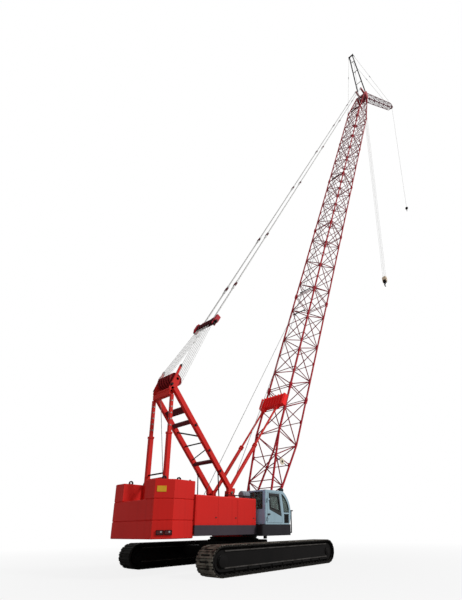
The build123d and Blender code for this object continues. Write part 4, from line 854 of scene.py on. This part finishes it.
guard_low, guard_high, guard_half = Vector((-2.175, 0, 3.71)), Vector((-1.985, 0, 4.19)), 0.315
guard_turn = side_place(guard_low, guard_high - guard_low).to_3x3()
guard_size = ((guard_high - guard_low).length, 0.05, 0.034)
guards = bmesh.new()
for side in both:
    block(guards, (guard_low + guard_high) / 2 + across(side * guard_half), guard_size, guard_turn)
with tinted(guards, 1):
    for side in both:
        for end in (guard_low, guard_high):
            block(guards, end + across(side * guard_half), (0.06, 0.04, 0.05), guard_turn)
make("rope_guard_bars", guards, [machine_red, rail_black], "upper", bevel=0.003)

# Cab platform and cab shell
# A pressed steel cab in pale blue-grey on a dark platform, its rear wall in the same paint drawn lighter
# and bluer as painted light, with rubber-sealed glass, a dark louvre below the side window, a roof lamp
# and a tubular grab rail.

cab_rear, cab_outer, cab_inner = -0.136, -1.108, -0.56
cab_floor, cab_roof = 0.888, 1.625
cab_middle = (cab_outer + cab_inner) / 2
panel_depth = 0.008
panel_x = cab_rear - panel_depth / 2
# The rear wall's panel takes the lightened blue: painted light on a wall in shade.
rear_panel = bmesh.new()
block(rear_panel, (panel_x, cab_middle, cab_floor + 0.165), (panel_depth, 0.53, 0.32))
for y in (cab_outer + 0.043, cab_inner - 0.043):
    block(rear_panel, (panel_x, y, 1.4), (panel_depth, 0.068, 0.37))
block(rear_panel, (panel_x, cab_middle, cab_roof - 0.024), (panel_depth, 0.53, 0.036))
make("cab_rear_panel", rear_panel, [lightened_blue], "upper", bevel=0.003)

arc_x, arc_z, arc_radius, pane_inset = 0.2032, 1.1308, 0.5602, 0.075
pane_low, pane_high, post_low, post_high = 1.158, 1.55, 0.509, 0.4335
arc_steps = 8
pane = [(post_low, pane_low)]
for step in range(arc_steps + 1):
    z = pane_low + (pane_high - pane_low) * step / arc_steps
    pane.append((arc_x + sqrt((arc_radius - pane_inset) ** 2 - (z - arc_z) ** 2), z))
pane += [(post_high, pane_high), (post_low, pane_low)]
rear_half, rear_low, rear_high = 0.184, 1.2215, 1.5815
rear_window = [(-rear_half, rear_low), (rear_half, rear_low), (rear_half, rear_high)]
rear_window += [(-rear_half, rear_high), (-rear_half, rear_low)]
gaskets = bmesh.new()
for y in (cab_outer, cab_inner):
    pipe(gaskets, [(x, y, z) for x, z in pane], 0.009, 8)
pipe(gaskets, [(cab_rear - 0.006, cab_middle + y, z) for y, z in rear_window], 0.009, 8)
make("window_gaskets", gaskets, [seal_rubber], "upper")

door_pane = [(-0.006, 1.505), (0.034, 1.248), (0.364, 1.168), (0.294, 1.505), (-0.006, 1.505)]
door_surround = [(-0.03, 1.555), (0.0, 1.2), (0.42, 1.06), (0.335, 1.555), (-0.03, 1.555)]
door_trim = bmesh.new()
pipe(door_trim, [(x, cab_outer - 0.004, z) for x, z in door_pane], 0.01, 8)
for number in range(4):
    corners = [door_surround[number], door_surround[number + 1], door_pane[number + 1], door_pane[number]]
    plate(door_trim, corners, side_place((0, 0, 0), along_axis, cab_outer - 0.0015), 0.003)
block(door_trim, (-0.03, cab_outer - 0.014, 1.1), (0.07, 0.02, 0.03))
make("door_gasket_and_handle", door_trim, [seal_rubber], "door", bevel=0.002)

slats, slat_x = 7, 0.598
lamp_at = Vector((0.5, cab_outer + 0.08, cab_roof + 0.026))
cab_fittings = bmesh.new()
for number in range(slats):
    block(cab_fittings, (slat_x, cab_outer - 0.003, 0.935 + number * 0.027), (0.15, 0.006, 0.016))
block(cab_fittings, (slat_x, cab_outer - 0.001, 1.016), (0.17, 0.002, 0.2))
turned(cab_fittings, [(0.03, -0.05), (0.05, -0.01), (0.052, 0.04)], axis_place(lamp_at, along_axis), 20)
cylinder(cab_fittings, lamp_at - up(0.05), lamp_at, 0.012, 10)
block(cab_fittings, (-0.114, cab_outer + 0.03, 0.625), (0.06, 0.05, 0.06))
block(cab_fittings, (0.5, cab_middle, 1.03), (0.1, 0.4, 0.22))
for side in both:
    y = cab_middle + side * 0.19
    block(cab_fittings, (0.16, y, 1.06), (0.3, 0.08, 0.26))
    stick = [Vector((0.28, y, 1.19)), Vector((0.3, y, 1.31)), Vector((0.306, y, 1.36))]
    cylinder(cab_fittings, stick[0], stick[1], 0.01, 8)
    cylinder(cab_fittings, stick[1], stick[2], 0.017, 10)
make("cab_fittings", cab_fittings, [rail_black], "upper", bevel=0.002)

grab_low, grab_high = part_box("handrails")
grab_radius, grab_x = 0.014, 0.854
grab_y = (grab_low.y + grab_high.y) / 2
foot, top = grab_low.z + grab_radius, grab_high.z - grab_radius
grab_points = [(grab_low.x, foot), (grab_x, foot), (grab_x, top), (grab_high.x, top)]
grab = bmesh.new()
pipe(grab, [(x, grab_y, z) for x, z in grab_points], grab_radius, 14)
make("bent_grab_rail", grab, [rail_black], "upper", replaces=["handrails"])

# Operator's seat
# Foam cushions in woven black cloth on a steel pedestal. Each cover is sewn flat and blown out by its
# foam: the closed form is filled as cloth under pressure, its movement held to the cloth's slack.

seat_floor = cab_floor + 0.028
seat_half = 0.125
foam_slack, foam_pressure, fill_steps = 0.022, 4.0, 20
cell = 0.008


def settled_mesh(piece):
    """The piece's mesh as its modifiers leave it."""
    return bpy.data.meshes.new_from_object(piece.evaluated_get(bpy.context.evaluated_depsgraph_get()))


def stuffed(name, outline):
    """A stuffed cover from its side outline, drawn smaller by its slack and filled under pressure."""
    outline = [(x, seat_floor + z) for x, z in outline]
    bm = bmesh.new()
    plate(bm, outline, side_place((0, 0, 0), along_axis, cab_middle), 2 * (seat_half - foam_slack))
    bmesh.ops.recalc_face_normals(bm, faces=bm.faces)
    cover = bpy.data.meshes.new(name)
    bm.to_mesh(cover)
    bm.free()
    piece = bpy.data.objects.new(name, cover)
    scene.collection.objects.link(piece)
    cells = piece.modifiers.new("cells", "REMESH")
    cells.mode = "VOXEL"
    cells.voxel_size = cell
    piece.data = settled_mesh(piece)
    piece.modifiers.clear()
    still = [vertex.co.copy() for vertex in piece.data.vertices]
    cloth = piece.modifiers.new("filling", "CLOTH")
    cloth.settings.use_pressure = True
    cloth.settings.uniform_pressure_force = foam_pressure
    cloth.settings.effector_weights.gravity = 0.0
    for step in range(fill_steps):
        scene.frame_set(step + 1)
    blown = settled_mesh(piece)
    piece.modifiers.clear()
    scene.frame_set(1)
    for vertex, start, end in zip(piece.data.vertices, still, blown.vertices):
        move = end.co - start
        vertex.co = start + move * min(1.0, foam_slack / max(move.length, 1e-6))
    smooth = piece.modifiers.new("smooth", "SUBSURF")
    smooth.levels = smooth.render_levels = 1
    piece.data.materials.clear()
    piece.data.materials.append(seat_cloth)
    piece.data.shade_smooth()
    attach(piece, "upper")
    return piece


cushion = stuffed("seat_cushion", [(0.1, 0.212), (0.308, 0.212), (0.308, 0.24), (0.1, 0.228)])
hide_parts("operator_seat")
stuffed("seat_backrest", [(0.022, 0.21), (0.048, 0.25), (0.0, 0.545), (-0.026, 0.54)])
pedestal = bmesh.new()
block(pedestal, (0.14, cab_middle, seat_floor + 0.09), (0.15, 0.18, 0.18))
block(pedestal, (0.16, cab_middle, seat_floor + 0.186), (0.3, 0.2, 0.014))
make("seat_pedestal", pedestal, [rail_black], "upper", bevel=0.004)

# Boom
# A four-chord lattice of round tube: thick red chords, thin lacing welded between them on every face,
# sections pinned end to end through forked lugs, plate cheeks at the foot and at the head.

luff = next(joint for joint in frame["record"]["behaviour"]["joints"] if joint["name"] == "boom_luff")
boom_foot = Vector(luff["pos_m"])
boom_run = leaning(69.2)
boom_back = square(boom_run)
boom_turn = turn_to(boom_run)
boom_half = 0.416
base_start, base_taper, base_length = 0.42, 2.46, 4.083
insert_length, insert_count, insert_panels = 4.542, 5, 6
top_start = base_length + insert_count * insert_length
boom_length = top_start + 3.759
chord_radius = 0.029
boom_tubes = (chord_radius, 0.0155, 0.0125, 0.042)
corner_signs = [(-1, -1), (1, -1), (1, 1), (-1, 1)]


def on_boom(along, side, lift):
    """Point on the boom, from its foot pin: along it, across it and off its back."""
    return boom_foot + boom_run * along + across(side) + boom_back * lift


def evenly(first, last, steps):
    """Stations at even steps from the first to the last."""
    return [tuple(a + (b - a) * number / steps for a, b in zip(first, last)) for number in range(steps + 1)]


def lattice(bm, place, stations, chord, lacing, rung, inset):
    """Adds round chords, lacing and rungs through stations of (along, half width, half depth), with a
    gusset at each of the chords' nodes."""
    nodes = list(stations)
    for end, beside in ((0, 1), (-1, -2)):
        share = inset / abs(stations[beside][0] - stations[end][0])
        nodes[end] = tuple(a + share * (b - a) for a, b in zip(stations[end], stations[beside]))
    turn = turn_to((place(1, 0, 0) - place(0, 0, 0)).normalized())
    for side, lift in corner_signs:
        ends = [place(s, side * w, lift * h) for s, w, h in stations]
        for start, end in zip(ends, ends[1:]):
            cylinder(bm, start, end, chord, 14)
        for s, w, h in nodes:
            middle = place(s, side * (w - chord * 0.8), lift * (h - chord * 0.8))
            block(bm, middle, (3.6 * chord, 1.2 * chord, 0.5 * chord), turn)
            block(bm, middle, (3.6 * chord, 0.5 * chord, 1.2 * chord), turn)
    with tinted(bm, 1):
        for index, (first, second) in enumerate(zip(corner_signs, corner_signs[1:] + corner_signs[:1])):
            near = [place(s, first[0] * w, first[1] * h) for s, w, h in nodes]
            far = [place(s, second[0] * w, second[1] * h) for s, w, h in nodes]
            for panel in range(len(nodes) - 1):
                start, end = (near, far) if (panel + index) % 2 else (far, near)
                cylinder(bm, start[panel], end[panel + 1], lacing, 8)
            for start, end in zip(near, far):
                cylinder(bm, start, end, rung, 8)


def section_lugs(bm, along):
    """Adds the forked lugs and pins where two sections of the boom meet."""
    for side, lift in corner_signs:
        spot = on_boom(along, side * boom_half, lift * boom_half)
        block(bm, spot, (0.2, 0.056, 0.084), boom_turn)
        axle(bm, spot, 0.05, 0.024, 12)


def section(along):
    """Station on the boom's full width."""
    return (along, boom_half, boom_half)


# The lacing takes the darker red of painted shade; the chords keep the boom's red.
lattice_finish = [boom_red, shaded_lacing_red, pin_steel]
stations = evenly((base_start, boom_half, 0.105), section(base_taper), 3)
stations += evenly(section(base_taper), section(base_length), 2)[1:]
foot_cheek = wrapped([(0, 0, 0.1), (base_start, 0.118, 0.02), (base_start, -0.118, 0.02)])
base = bmesh.new()
lattice(base, on_boom, stations, *boom_tubes)
for side in both:
    plate(base, foot_cheek, side_place(boom_foot, boom_run, side * boom_half), 0.072)
make("boom_base_tubes", base, lattice_finish, "boom", replaces=["boom_base"])

for number in range(1, insert_count + 1):
    start = base_length + (number - 1) * insert_length
    stations = evenly(section(start), section(start + insert_length), insert_panels)
    insert = bmesh.new()
    lattice(insert, on_boom, stations, *boom_tubes)
    section_lugs(insert, start)
    stands_for = [f"boom_insert_{number}"]
    make(f"boom_insert_{number}_tubes", insert, lattice_finish, "boom", replaces=stands_for)

head_half_width, head_half_depth = 0.3, 0.19
sheave_back, sheave_drop = 0.262, 0.165
eye_back, eye_lift = 0.5, 0.56
pendant_offsets = (-0.205, -0.15, 0.15, 0.205)
tip = on_boom(boom_length, 0, 0)
pendant_eye = tip - boom_run * eye_back + boom_back * eye_lift
head_cheek = [(0, 0, 0.11), (-sheave_back, -sheave_drop, 0.09), (-0.53, 0.2, 0.015), (-0.53, -0.2, 0.015)]
eye_cheek = wrapped([(0, 0, 0.045), (-eye_back, eye_lift, 0.034)])
top = bmesh.new()
head_station = (boom_length - 0.5, head_half_width, head_half_depth)
lattice(top, on_boom, evenly(section(top_start), head_station, 4), *boom_tubes)
section_lugs(top, top_start)
for side in both:
    plate(top, wrapped(head_cheek), side_place(tip, boom_run, side * head_half_width), 0.06)
for y in pendant_offsets:
    for shift in (-0.015, 0.015):
        plate(top, eye_cheek, side_place(tip, boom_run, y + shift), 0.008)
with tinted(top, 2):
    axle(top, tip, 0.335, 0.045, 24)
    for y in pendant_offsets:
        axle(top, pendant_eye + across(y), 0.026, 0.014, 14)
make("boom_top_tubes", top, lattice_finish, "boom", replaces=["boom_top"])

head_sheave_radius, fall_spacing = 0.18, 0.11
main_sheave_at = tip - boom_run * sheave_back - boom_back * sheave_drop
head_set = bmesh.new()
sheaves(head_set, main_sheave_at, 4, fall_spacing, head_sheave_radius, 0.044)
axle(head_set, main_sheave_at, 0.2697, 0.04, 20)
make("boom_head_sheave_set", head_set, [dark_wine], "boom", replaces=["boom_head_sheaves"])

# Boom angle dial, backstops and winch lines
# A cream dial with a dark centre hangs on the base's right face. The backstops' tubes end in gland
# rings. Two winch lines run up to guide rollers on the boom's back.

dial_at = on_boom(1.69, -boom_half - 0.034, 0.063)
dial_place = axis_place(dial_at, -across_axis)
dial = bmesh.new()
turned(dial, [(0.085, 0), (0.09, 0.006), (0.085, 0.012)], dial_place, 40)
with tinted(dial, 1):
    turned(dial, [(0.035, 0.012), (0.03, 0.02)], dial_place, 24)
    block(dial, dial_at + across(0.006), (0.016, 0.012, 0.5), boom_turn)
make("boom_angle_dial", dial, [dial_cream, rail_black], "boom", bevel=0.001)

stop_run, stop_half = leaning(54.24), 0.24
gland = [(0.046, 0), (0.058, 0.004), (0.058, 0.03), (0.046, 0.034)]
glands = bmesh.new()
for side in both:
    for along in (1.5, 1.56):
        spot = gantry_foot + across(side * stop_half) + stop_run * along
        turned(glands, gland, axis_place(spot, stop_run), 24)
make("backstop_gland_rings", glands, [machine_red], "backstop_tubes")

line_radius = 0.007
line_starts = ((-1.06, 0.0), (-0.18, 0.12))
line_rollers = (8.7, 7.5)
upper_roller = 17.708
roller_lift = boom_half + 0.06
lines, rollers = bmesh.new(), bmesh.new()
for (x, y), along in zip(line_starts, line_rollers):
    drum = Vector((x, y, drum_height))
    guide = on_boom(along, y, roller_lift)
    start = drum + square((guide - drum).normalized()) * wound_radius
    cylinder(lines, start, guide, line_radius, 8)
    bend = on_boom(top_start, y, roller_lift)
    cylinder(rollers, guide, bend, line_radius, 8)
    cylinder(rollers, bend, on_boom(boom_length - 0.6, y, head_half_depth + 0.06), line_radius, 8)
with tinted(rollers, 1):
    for along in (line_rollers[1], line_rollers[0], upper_roller, top_start):
        middle = on_boom(along, 0, boom_half + 0.035)
        axle(rollers, middle, 0.2, 0.018, 12)
        for side in both:
            block(rollers, middle + across(side * 0.21) - boom_back * 0.02, (0.05, 0.012, 0.08), boom_turn)
line_ends = ((0.0, 0, 1.6), on_boom(7.0, 0, roller_lift))
make("winch_lines", lines, [hoist_rope], ("upper", "boom"), ends=line_ends)
make("winch_line_rollers", rollers, [hoist_rope, rail_black], "boom")

# Jib, mast and stays
# A short fixed jib of thin tube pinned to the boom's tip, held up over a black two-legged mast by
# stays of wire rope with pressed sockets.

jib_run = leaning(45.4)
jib_lift = square(jib_run)
jib_length, jib_half, jib_panels = 9.785, 0.165, 10
jib_foot_half, jib_head_half = 0.095, 0.11
jib_sheave_radius = 0.12
jib_tubes = (0.019, 0.0115, 0.01, 0.02)


def on_jib(along, side, lift):
    """Point on the jib, from its foot pin."""
    return tip + jib_run * along + across(side) + jib_lift * lift


stations = evenly((1.15, jib_half, jib_half), (jib_length - 0.95, jib_half, jib_half), jib_panels)
stations = [(0.24, jib_foot_half, 0.06), *stations, (jib_length - 0.26, jib_head_half, 0.07)]
jib_wheel, jib_end = jib_length - jib_sheave_radius, jib_length - 0.3
foot_cheek = wrapped([(0, 0, 0.08), (0.27, 0.066, 0.01), (0.27, -0.066, 0.01)])
wheel_cheek = wrapped([(jib_wheel, 0, 0.06), (jib_end, 0.08, 0.006), (jib_end, -0.08, 0.006)])
wheel_at = on_jib(jib_wheel, 0, 0)
jib = bmesh.new()
lattice(jib, on_jib, stations, *jib_tubes)
with tinted(jib, 1):
    for side in both:
        plate(jib, foot_cheek, side_place(tip, jib_run, side * jib_foot_half), 0.028)
        plate(jib, wheel_cheek, side_place(tip, jib_run, side * jib_head_half), 0.016)
    axle(jib, wheel_at, 0.118, 0.024, 16)
    sheaves(jib, wheel_at, 1, 0.0, jib_sheave_radius, 0.044)
make("jib_tubes", jib, [jib_wine, dark_wine], "boom", replaces=["jib"])

mast_run = leaning(121.5)
mast_length, mast_leg, mast_leg_start = 2.594, 0.06, 0.125
mast_foot_half, mast_head_half = 0.245, 0.105
mast_top = tip + mast_run * mast_length
mast_cheek = wrapped([(0, 0, 0.075), (0.2, 0.02, 0.01), (0.2, -0.02, 0.01)])
stay_spread = 0.15
mast = bmesh.new()
for side in both:
    low = tip + across(side * mast_foot_half) + mast_run * mast_leg_start
    high = mast_top + across(side * mast_head_half)
    line = (high - low).normalized()
    flank = square(mast_run)
    turn = Matrix((line.cross(flank).normalized(), flank, line)).transposed()
    block(mast, (low + high) / 2, (mast_leg, mast_leg, (high - low).length), turn)
    plate(mast, mast_cheek, side_place(tip, mast_run, side * mast_foot_half), 0.032)
for share in (0.3, 0.6, 0.85):
    reach = mast_foot_half + share * (mast_head_half - mast_foot_half)
    rung = tip + mast_run * (mast_leg_start + share * (mast_length - mast_leg_start))
    axle(mast, rung, reach, 0.018, 10)
axle(mast, mast_top, stay_spread + 0.02, 0.04, 20)
for side in both:
    place = axis_place(mast_top + across(side * stay_spread), across(side))
    turned(mast, mirrored([(0.04, -0.02), (0.052, -0.014)]), place, 20)
make("jib_mast_legs", mast, [rail_black], "boom", replaces=["jib_mast"], bevel=0.004)

stay_radius, stay_socket = 0.009, 0.017
back_anchor = on_boom(top_start, 0, boom_half + chord_radius + 1.5 * stay_radius)
jib_anchor = on_jib(jib_length - 0.4, 0, 0.122)
socket_shares = ((0, 0.03), (0.36, 0.39), (0.975, 1))
stays, sockets = bmesh.new(), []
for side in both:
    for anchor, spread in ((back_anchor, boom_half), (jib_anchor, 0.1)):
        run = (anchor - mast_top).normalized()
        start = mast_top + across(side * stay_spread) + run * 0.0403
        end = anchor + across(side * spread) - run * 0.0093
        cylinder(stays, start, end, stay_radius, 8)
        sockets += [(start.lerp(end, first), start.lerp(end, last)) for first, last in socket_shares]
with tinted(stays, 1):
    for start, end in sockets:
        cylinder(stays, start, end, stay_socket, 10)
make("jib_stay_ropes", stays, [lightened_rope, rail_black], "boom", replaces=["jib_stays"])

# Boom suspension
# Reeved hoist ropes run from the gantry's sheaves to the bail, a red sheave block, and four pendant
# ropes in shackled lengths run on from there to the boom's head.

line_run = (pendant_eye - hoist_at).normalized()
line_up = square(line_run)
line_turn = turn_to(line_run)
line_length = (pendant_eye - hoist_at).length
bail_at, bail_length, bail_depth, bail_half = 2.058, 0.33, 0.11, 0.43
bail_start, bail_end = bail_at - bail_length / 2, bail_at + bail_length / 2
rope_radius = 0.007


def on_line(along, side=0.0, lift=0.0):
    """Point on the suspension, from the hoist sheaves: along it, across it and off its back."""
    return hoist_at + line_run * along + across(side) + line_up * lift


hoist = bmesh.new()
for number in range(hoist_parts):
    y = (number - (hoist_parts - 1) / 2) * hoist_spacing
    for lift in both:
        start = on_line(0, y, lift * (hoist_radius + 1.5 * rope_radius))
        cylinder(hoist, start, on_line(bail_start, y, lift * (bail_depth / 2 - 0.02)), rope_radius, 8)
bodies, ends = ("hoist_ropes", "pendants"), (on_line(0.1), on_line(bail_start - 0.1))
reeved = ["boom_hoist_ropes"]
make("reeved_hoist_ropes", hoist, [lightened_rope], bodies, replaces=reeved, ends=ends)

bail = bmesh.new()
for side in both:
    block(bail, on_line(bail_at, side * 0.345), (bail_length, 0.03, bail_depth), line_turn)
    block(bail, on_line(bail_at + 0.04, side * 0.385), (bail_length - 0.12, 0.05, bail_depth), line_turn)
for y in pendant_offsets:
    block(bail, on_line(bail_end - 0.07, y), (0.14, 0.026, 0.06), line_turn)
with tinted(bail, 1):
    axle(bail, on_line(bail_at + 0.06), 0.33, 0.05, 24)
    sheaves(bail, on_line(bail_at - 0.06), hoist_parts, hoist_spacing, 0.054, 0.04)
with tinted(bail, 2):
    axle(bail, on_line(bail_at - 0.06), bail_half, 0.03, 20)
    for side in both:
        block(bail, on_line(bail_start + 0.03, side * 0.36), (0.06, 0.05, 0.07), line_turn)
bail_finish = [boom_red, dark_wine, rail_black]
make("bail_sheave_block", bail, bail_finish, "pendants", replaces=["bail"], bevel=0.004)

first_link, link_spacing = 1.5, 4.5
link_count = int((line_length - bail_end) // link_spacing)
links = [bail_end + first_link] + [bail_end + (number + 1) * link_spacing for number in range(link_count)]
eye = line_length - 0.06
pendants = bmesh.new()
for y in pendant_offsets:
    cylinder(pendants, on_line(bail_end - 0.02, y), on_line(line_length - 0.03, y), 0.01, 8)
    for link in links:
        for socket in (link - 0.13, link + 0.16):
            cylinder(pendants, on_line(socket, y), on_line(socket + 0.13, y), 0.019, 12)
    cylinder(pendants, on_line(eye - 0.2, y), on_line(eye - 0.04, y), 0.018, 12)
with tinted(pendants, 1):
    for y in pendant_offsets:
        for link in links:
            block(pendants, on_line(link + 0.08, y), (0.16, 0.026, 0.044), line_turn)
        block(pendants, on_line(eye + 0.01, y), (0.12, 0.02, 0.05), line_turn)
pendant_finish, stands_for = [lightened_rope, dark_wine], ["pendant_lines"]
shackled = "shackled_pendant_ropes"
make(shackled, pendants, pendant_finish, "pendants", replaces=stands_for, bevel=0.002)

# Hooks
# A two-sheave hook block with cream cheeks and a forged black hook on four falls of rope, and a cast
# ball with a small hook on the jib's single line.

block_sheave_radius = 0.09
main_length, aux_length = 14.468, 11.049
rope_gap = rope_radius + 0.0003
front_x = main_sheave_at.x + head_sheave_radius + rope_gap
back_fall_x = front_x - 2 * block_sheave_radius
block_x = front_x - block_sheave_radius
fall_top = main_sheave_at.z
block_top = fall_top - main_length
back_drop = sqrt(head_sheave_radius**2 - (back_fall_x - main_sheave_at.x) ** 2) + 2 * rope_radius
falls = bmesh.new()
for y in (-fall_spacing / 2, fall_spacing / 2):
    cylinder(falls, (front_x, y, fall_top), (front_x, y, block_top), rope_radius, 8)
    cylinder(falls, (back_fall_x, y, fall_top - back_drop), (back_fall_x, y, block_top), rope_radius, 8)
bodies, ends = ("main_line", "main_hook"), ((block_x, 0, fall_top - 0.6), (block_x, 0, block_top + 0.2))
make("main_rope_falls", falls, [lightened_rope], bodies, replaces=["main_hoist_rope"], ends=ends)


def forged_hook(bm, centre, bowl, radius, half):
    """Adds a forged hook: a tapering bar bent round its bowl from the shank to a raised tip."""
    bends, sides, sweep = 24, 12, 270 * 0.93
    middle, thick = (bowl + radius) / 2, (radius - bowl) / 2
    rings = []
    for step in range(bends + 1):
        share = step / bends
        taper = 1.0 if share < 0.75 else 1.0 - 1.6 * (share - 0.75)
        grow = (0.75 + 0.3 * sin(pi * min(1.0, share * 1.3))) * taper
        out = leaning(90 + share * sweep)
        ring = []
        for turn in around(sides):
            bulge = out * (middle + thick * grow * cos(turn)) + across(half * grow * sin(turn))
            ring.append(centre + bulge)
        rings.append(ring)
    skin(bm, rings)


block_height = 0.36
shank_top = block_top - block_height
block_at = Vector((block_x, 0, block_top))
block_cheek = wrapped([(0, -0.12, 0.1195), (0, -block_height + 0.07, 0.07)])
hook_block = bmesh.new()
for side in both:
    plate(hook_block, block_cheek, side_place(block_at, along_axis, side * 0.098), 0.024)
block(hook_block, block_at - up(0.115), (0.225, 0.17, 0.2))
with tinted(hook_block, 1):
    sheaves(hook_block, block_at - up(0.12), 2, fall_spacing, 0.108, 0.044)
    for drop, radius in ((0.12, 0.035), (0.3, 0.045)):
        axle(hook_block, block_at - up(drop), 0.11, radius, 20)
    block(hook_block, block_at - up(0.29), (0.16, 0.17, 0.14))
    cylinder(hook_block, (block_x, 0, shank_top), (block_x, 0, shank_top - 0.11), 0.044, 20)
    forged_hook(hook_block, Vector((block_x, 0, shank_top - 0.175)), 0.058, 0.11, 0.03)
hook_finish, stands_for = [hook_cream, rail_black], ["hook_block"]
hook_name = "hook_block_with_sheaves"
make(hook_name, hook_block, hook_finish, "main_hook", replaces=stands_for, bevel=0.003)

aux_x = wheel_at.x + jib_sheave_radius + rope_gap
ball_top = wheel_at.z - aux_length
aux_fall = bmesh.new()
cylinder(aux_fall, (aux_x, 0, wheel_at.z), (aux_x, 0, ball_top), rope_radius, 8)
bodies, ends = ("aux_line", "aux_hook"), ((aux_x, 0, wheel_at.z - 0.6), (aux_x, 0, ball_top + 0.2))
make("aux_rope_fall", aux_fall, [hoist_rope], bodies, replaces=["aux_hoist_rope"], ends=ends)

ball_radius = 0.105
ball_profile = [(0.012, ball_radius), (0.03, ball_radius - 0.002), (0.03, 0.1)]
ball_profile += [(ball_radius * cos(radians(a)), ball_radius * sin(radians(a))) for a in range(70, -75, -8)]
ball_profile += [(0.028, -0.1), (0.028, -0.175)]
ball_at = Vector((aux_x, 0, ball_top - ball_radius))
ball = bmesh.new()
turned(ball, ball_profile, Matrix.Translation(ball_at), 40)
forged_hook(ball, ball_at - up(ball_radius + 0.125), 0.04, 0.075, 0.02)
make("ball_with_hook", ball, [rail_black], "aux_hook", replaces=["ball_hook"])

# Floor, light and camera
# A plain pale studio floor that fades into a white surround, one broad lamp from the machine's right
# and an even sky, with the camera low behind the machine's right rear corner.


def seen(owner):
    """1 for what the camera sees, straight or through glass, and 0 for light that only bounces."""
    rays = [node(owner, "LightPath", {}, ray) for ray in ("Is Camera Ray", "Is Transmission Ray")]
    return maths(owner, "MAXIMUM", *rays)


white = (1.0, 1.0, 1.0, 1.0)
floor_size, fade_start, fade_end = 400.0, 3.0, 14.0
bpy.ops.mesh.primitive_circle_add(vertices=96, radius=floor_size, fill_type="NGON", location=(0, 0, 0))
floor = bpy.context.object
floor.name = "studio_floor"
floor_finish, floor_shader, floor_place = new_finish("pale_studio_floor")
plug(floor_finish, floor_shader, {"Base Color": linear("a4a4a4"), "Roughness": 0.9})
distance = node(floor_finish, "VectorMath", {0: floor_place}, "Value", operation="LENGTH")
fade = remap(floor_finish, distance, (fade_start, fade_end), (0.86, 1.0))
glow = node(floor_finish, "Emission", {"Color": white, "Strength": 1.0}, "Emission")
share = maths(floor_finish, "MULTIPLY", fade, seen(floor_finish))
surface = node(floor_finish, "MixShader", {0: share, 1: floor_shader.outputs["BSDF"], 2: glow}, "Shader")
plug(floor_finish, floor_finish.node_tree.nodes["Material Output"], {"Surface": surface})
floor.data.materials.append(floor_finish)

sky_light = 0.5
world = bpy.data.worlds.new("studio_surround")
scene.world = world
world.use_nodes = True
sky_strength = remap(world, seen(world), to=(sky_light, 1.0))
plug(world, world.node_tree.nodes["Background"], {"Color": white, "Strength": sky_strength})

lamp_data = bpy.data.lights.new("broad_studio_lamp", "SUN")
lamp_data.energy = 2.2
lamp_data.angle = radians(12)
lamp = bpy.data.objects.new("broad_studio_lamp", lamp_data)
scene.collection.objects.link(lamp)
lamp.rotation_mode = "QUATERNION"
lamp.rotation_quaternion = Vector((-0.35, 0.8, -0.62)).to_track_quat("-Z", "Y")

camera_data = bpy.data.cameras.new("camera")
camera = bpy.data.objects.new("camera", camera_data)
scene.collection.objects.link(camera)
scene.camera = camera
image_width, image_height = 462, 600
focal_px = 368.277
centre_px = (275.867, 416.586)
camera_at = (-6.3395, -6.492, 0.794)
yaw, pitch, roll = radians(39.201), radians(16.937), radians(-0.755)
forward = Vector((cos(pitch) * cos(yaw), cos(pitch) * sin(yaw), sin(pitch)))
right = Vector((sin(yaw), -cos(yaw), 0))
upward = right.cross(forward)
rolled_right = right * cos(roll) + upward * sin(roll)
rolled_up = upward * cos(roll) - right * sin(roll)
camera_turn = Matrix((rolled_right, rolled_up, -forward)).transposed()
camera.matrix_world = Matrix.Translation(camera_at) @ camera_turn.to_4x4()
camera_data.sensor_width = 36.0
camera_data.lens = focal_px / image_height * camera_data.sensor_width
camera_data.shift_x = (image_width / 2 - centre_px[0]) / image_height
camera_data.shift_y = (centre_px[1] - image_height / 2) / image_height
camera_data.clip_end = 1000.0
scene.view_settings.view_transform = "Standard"
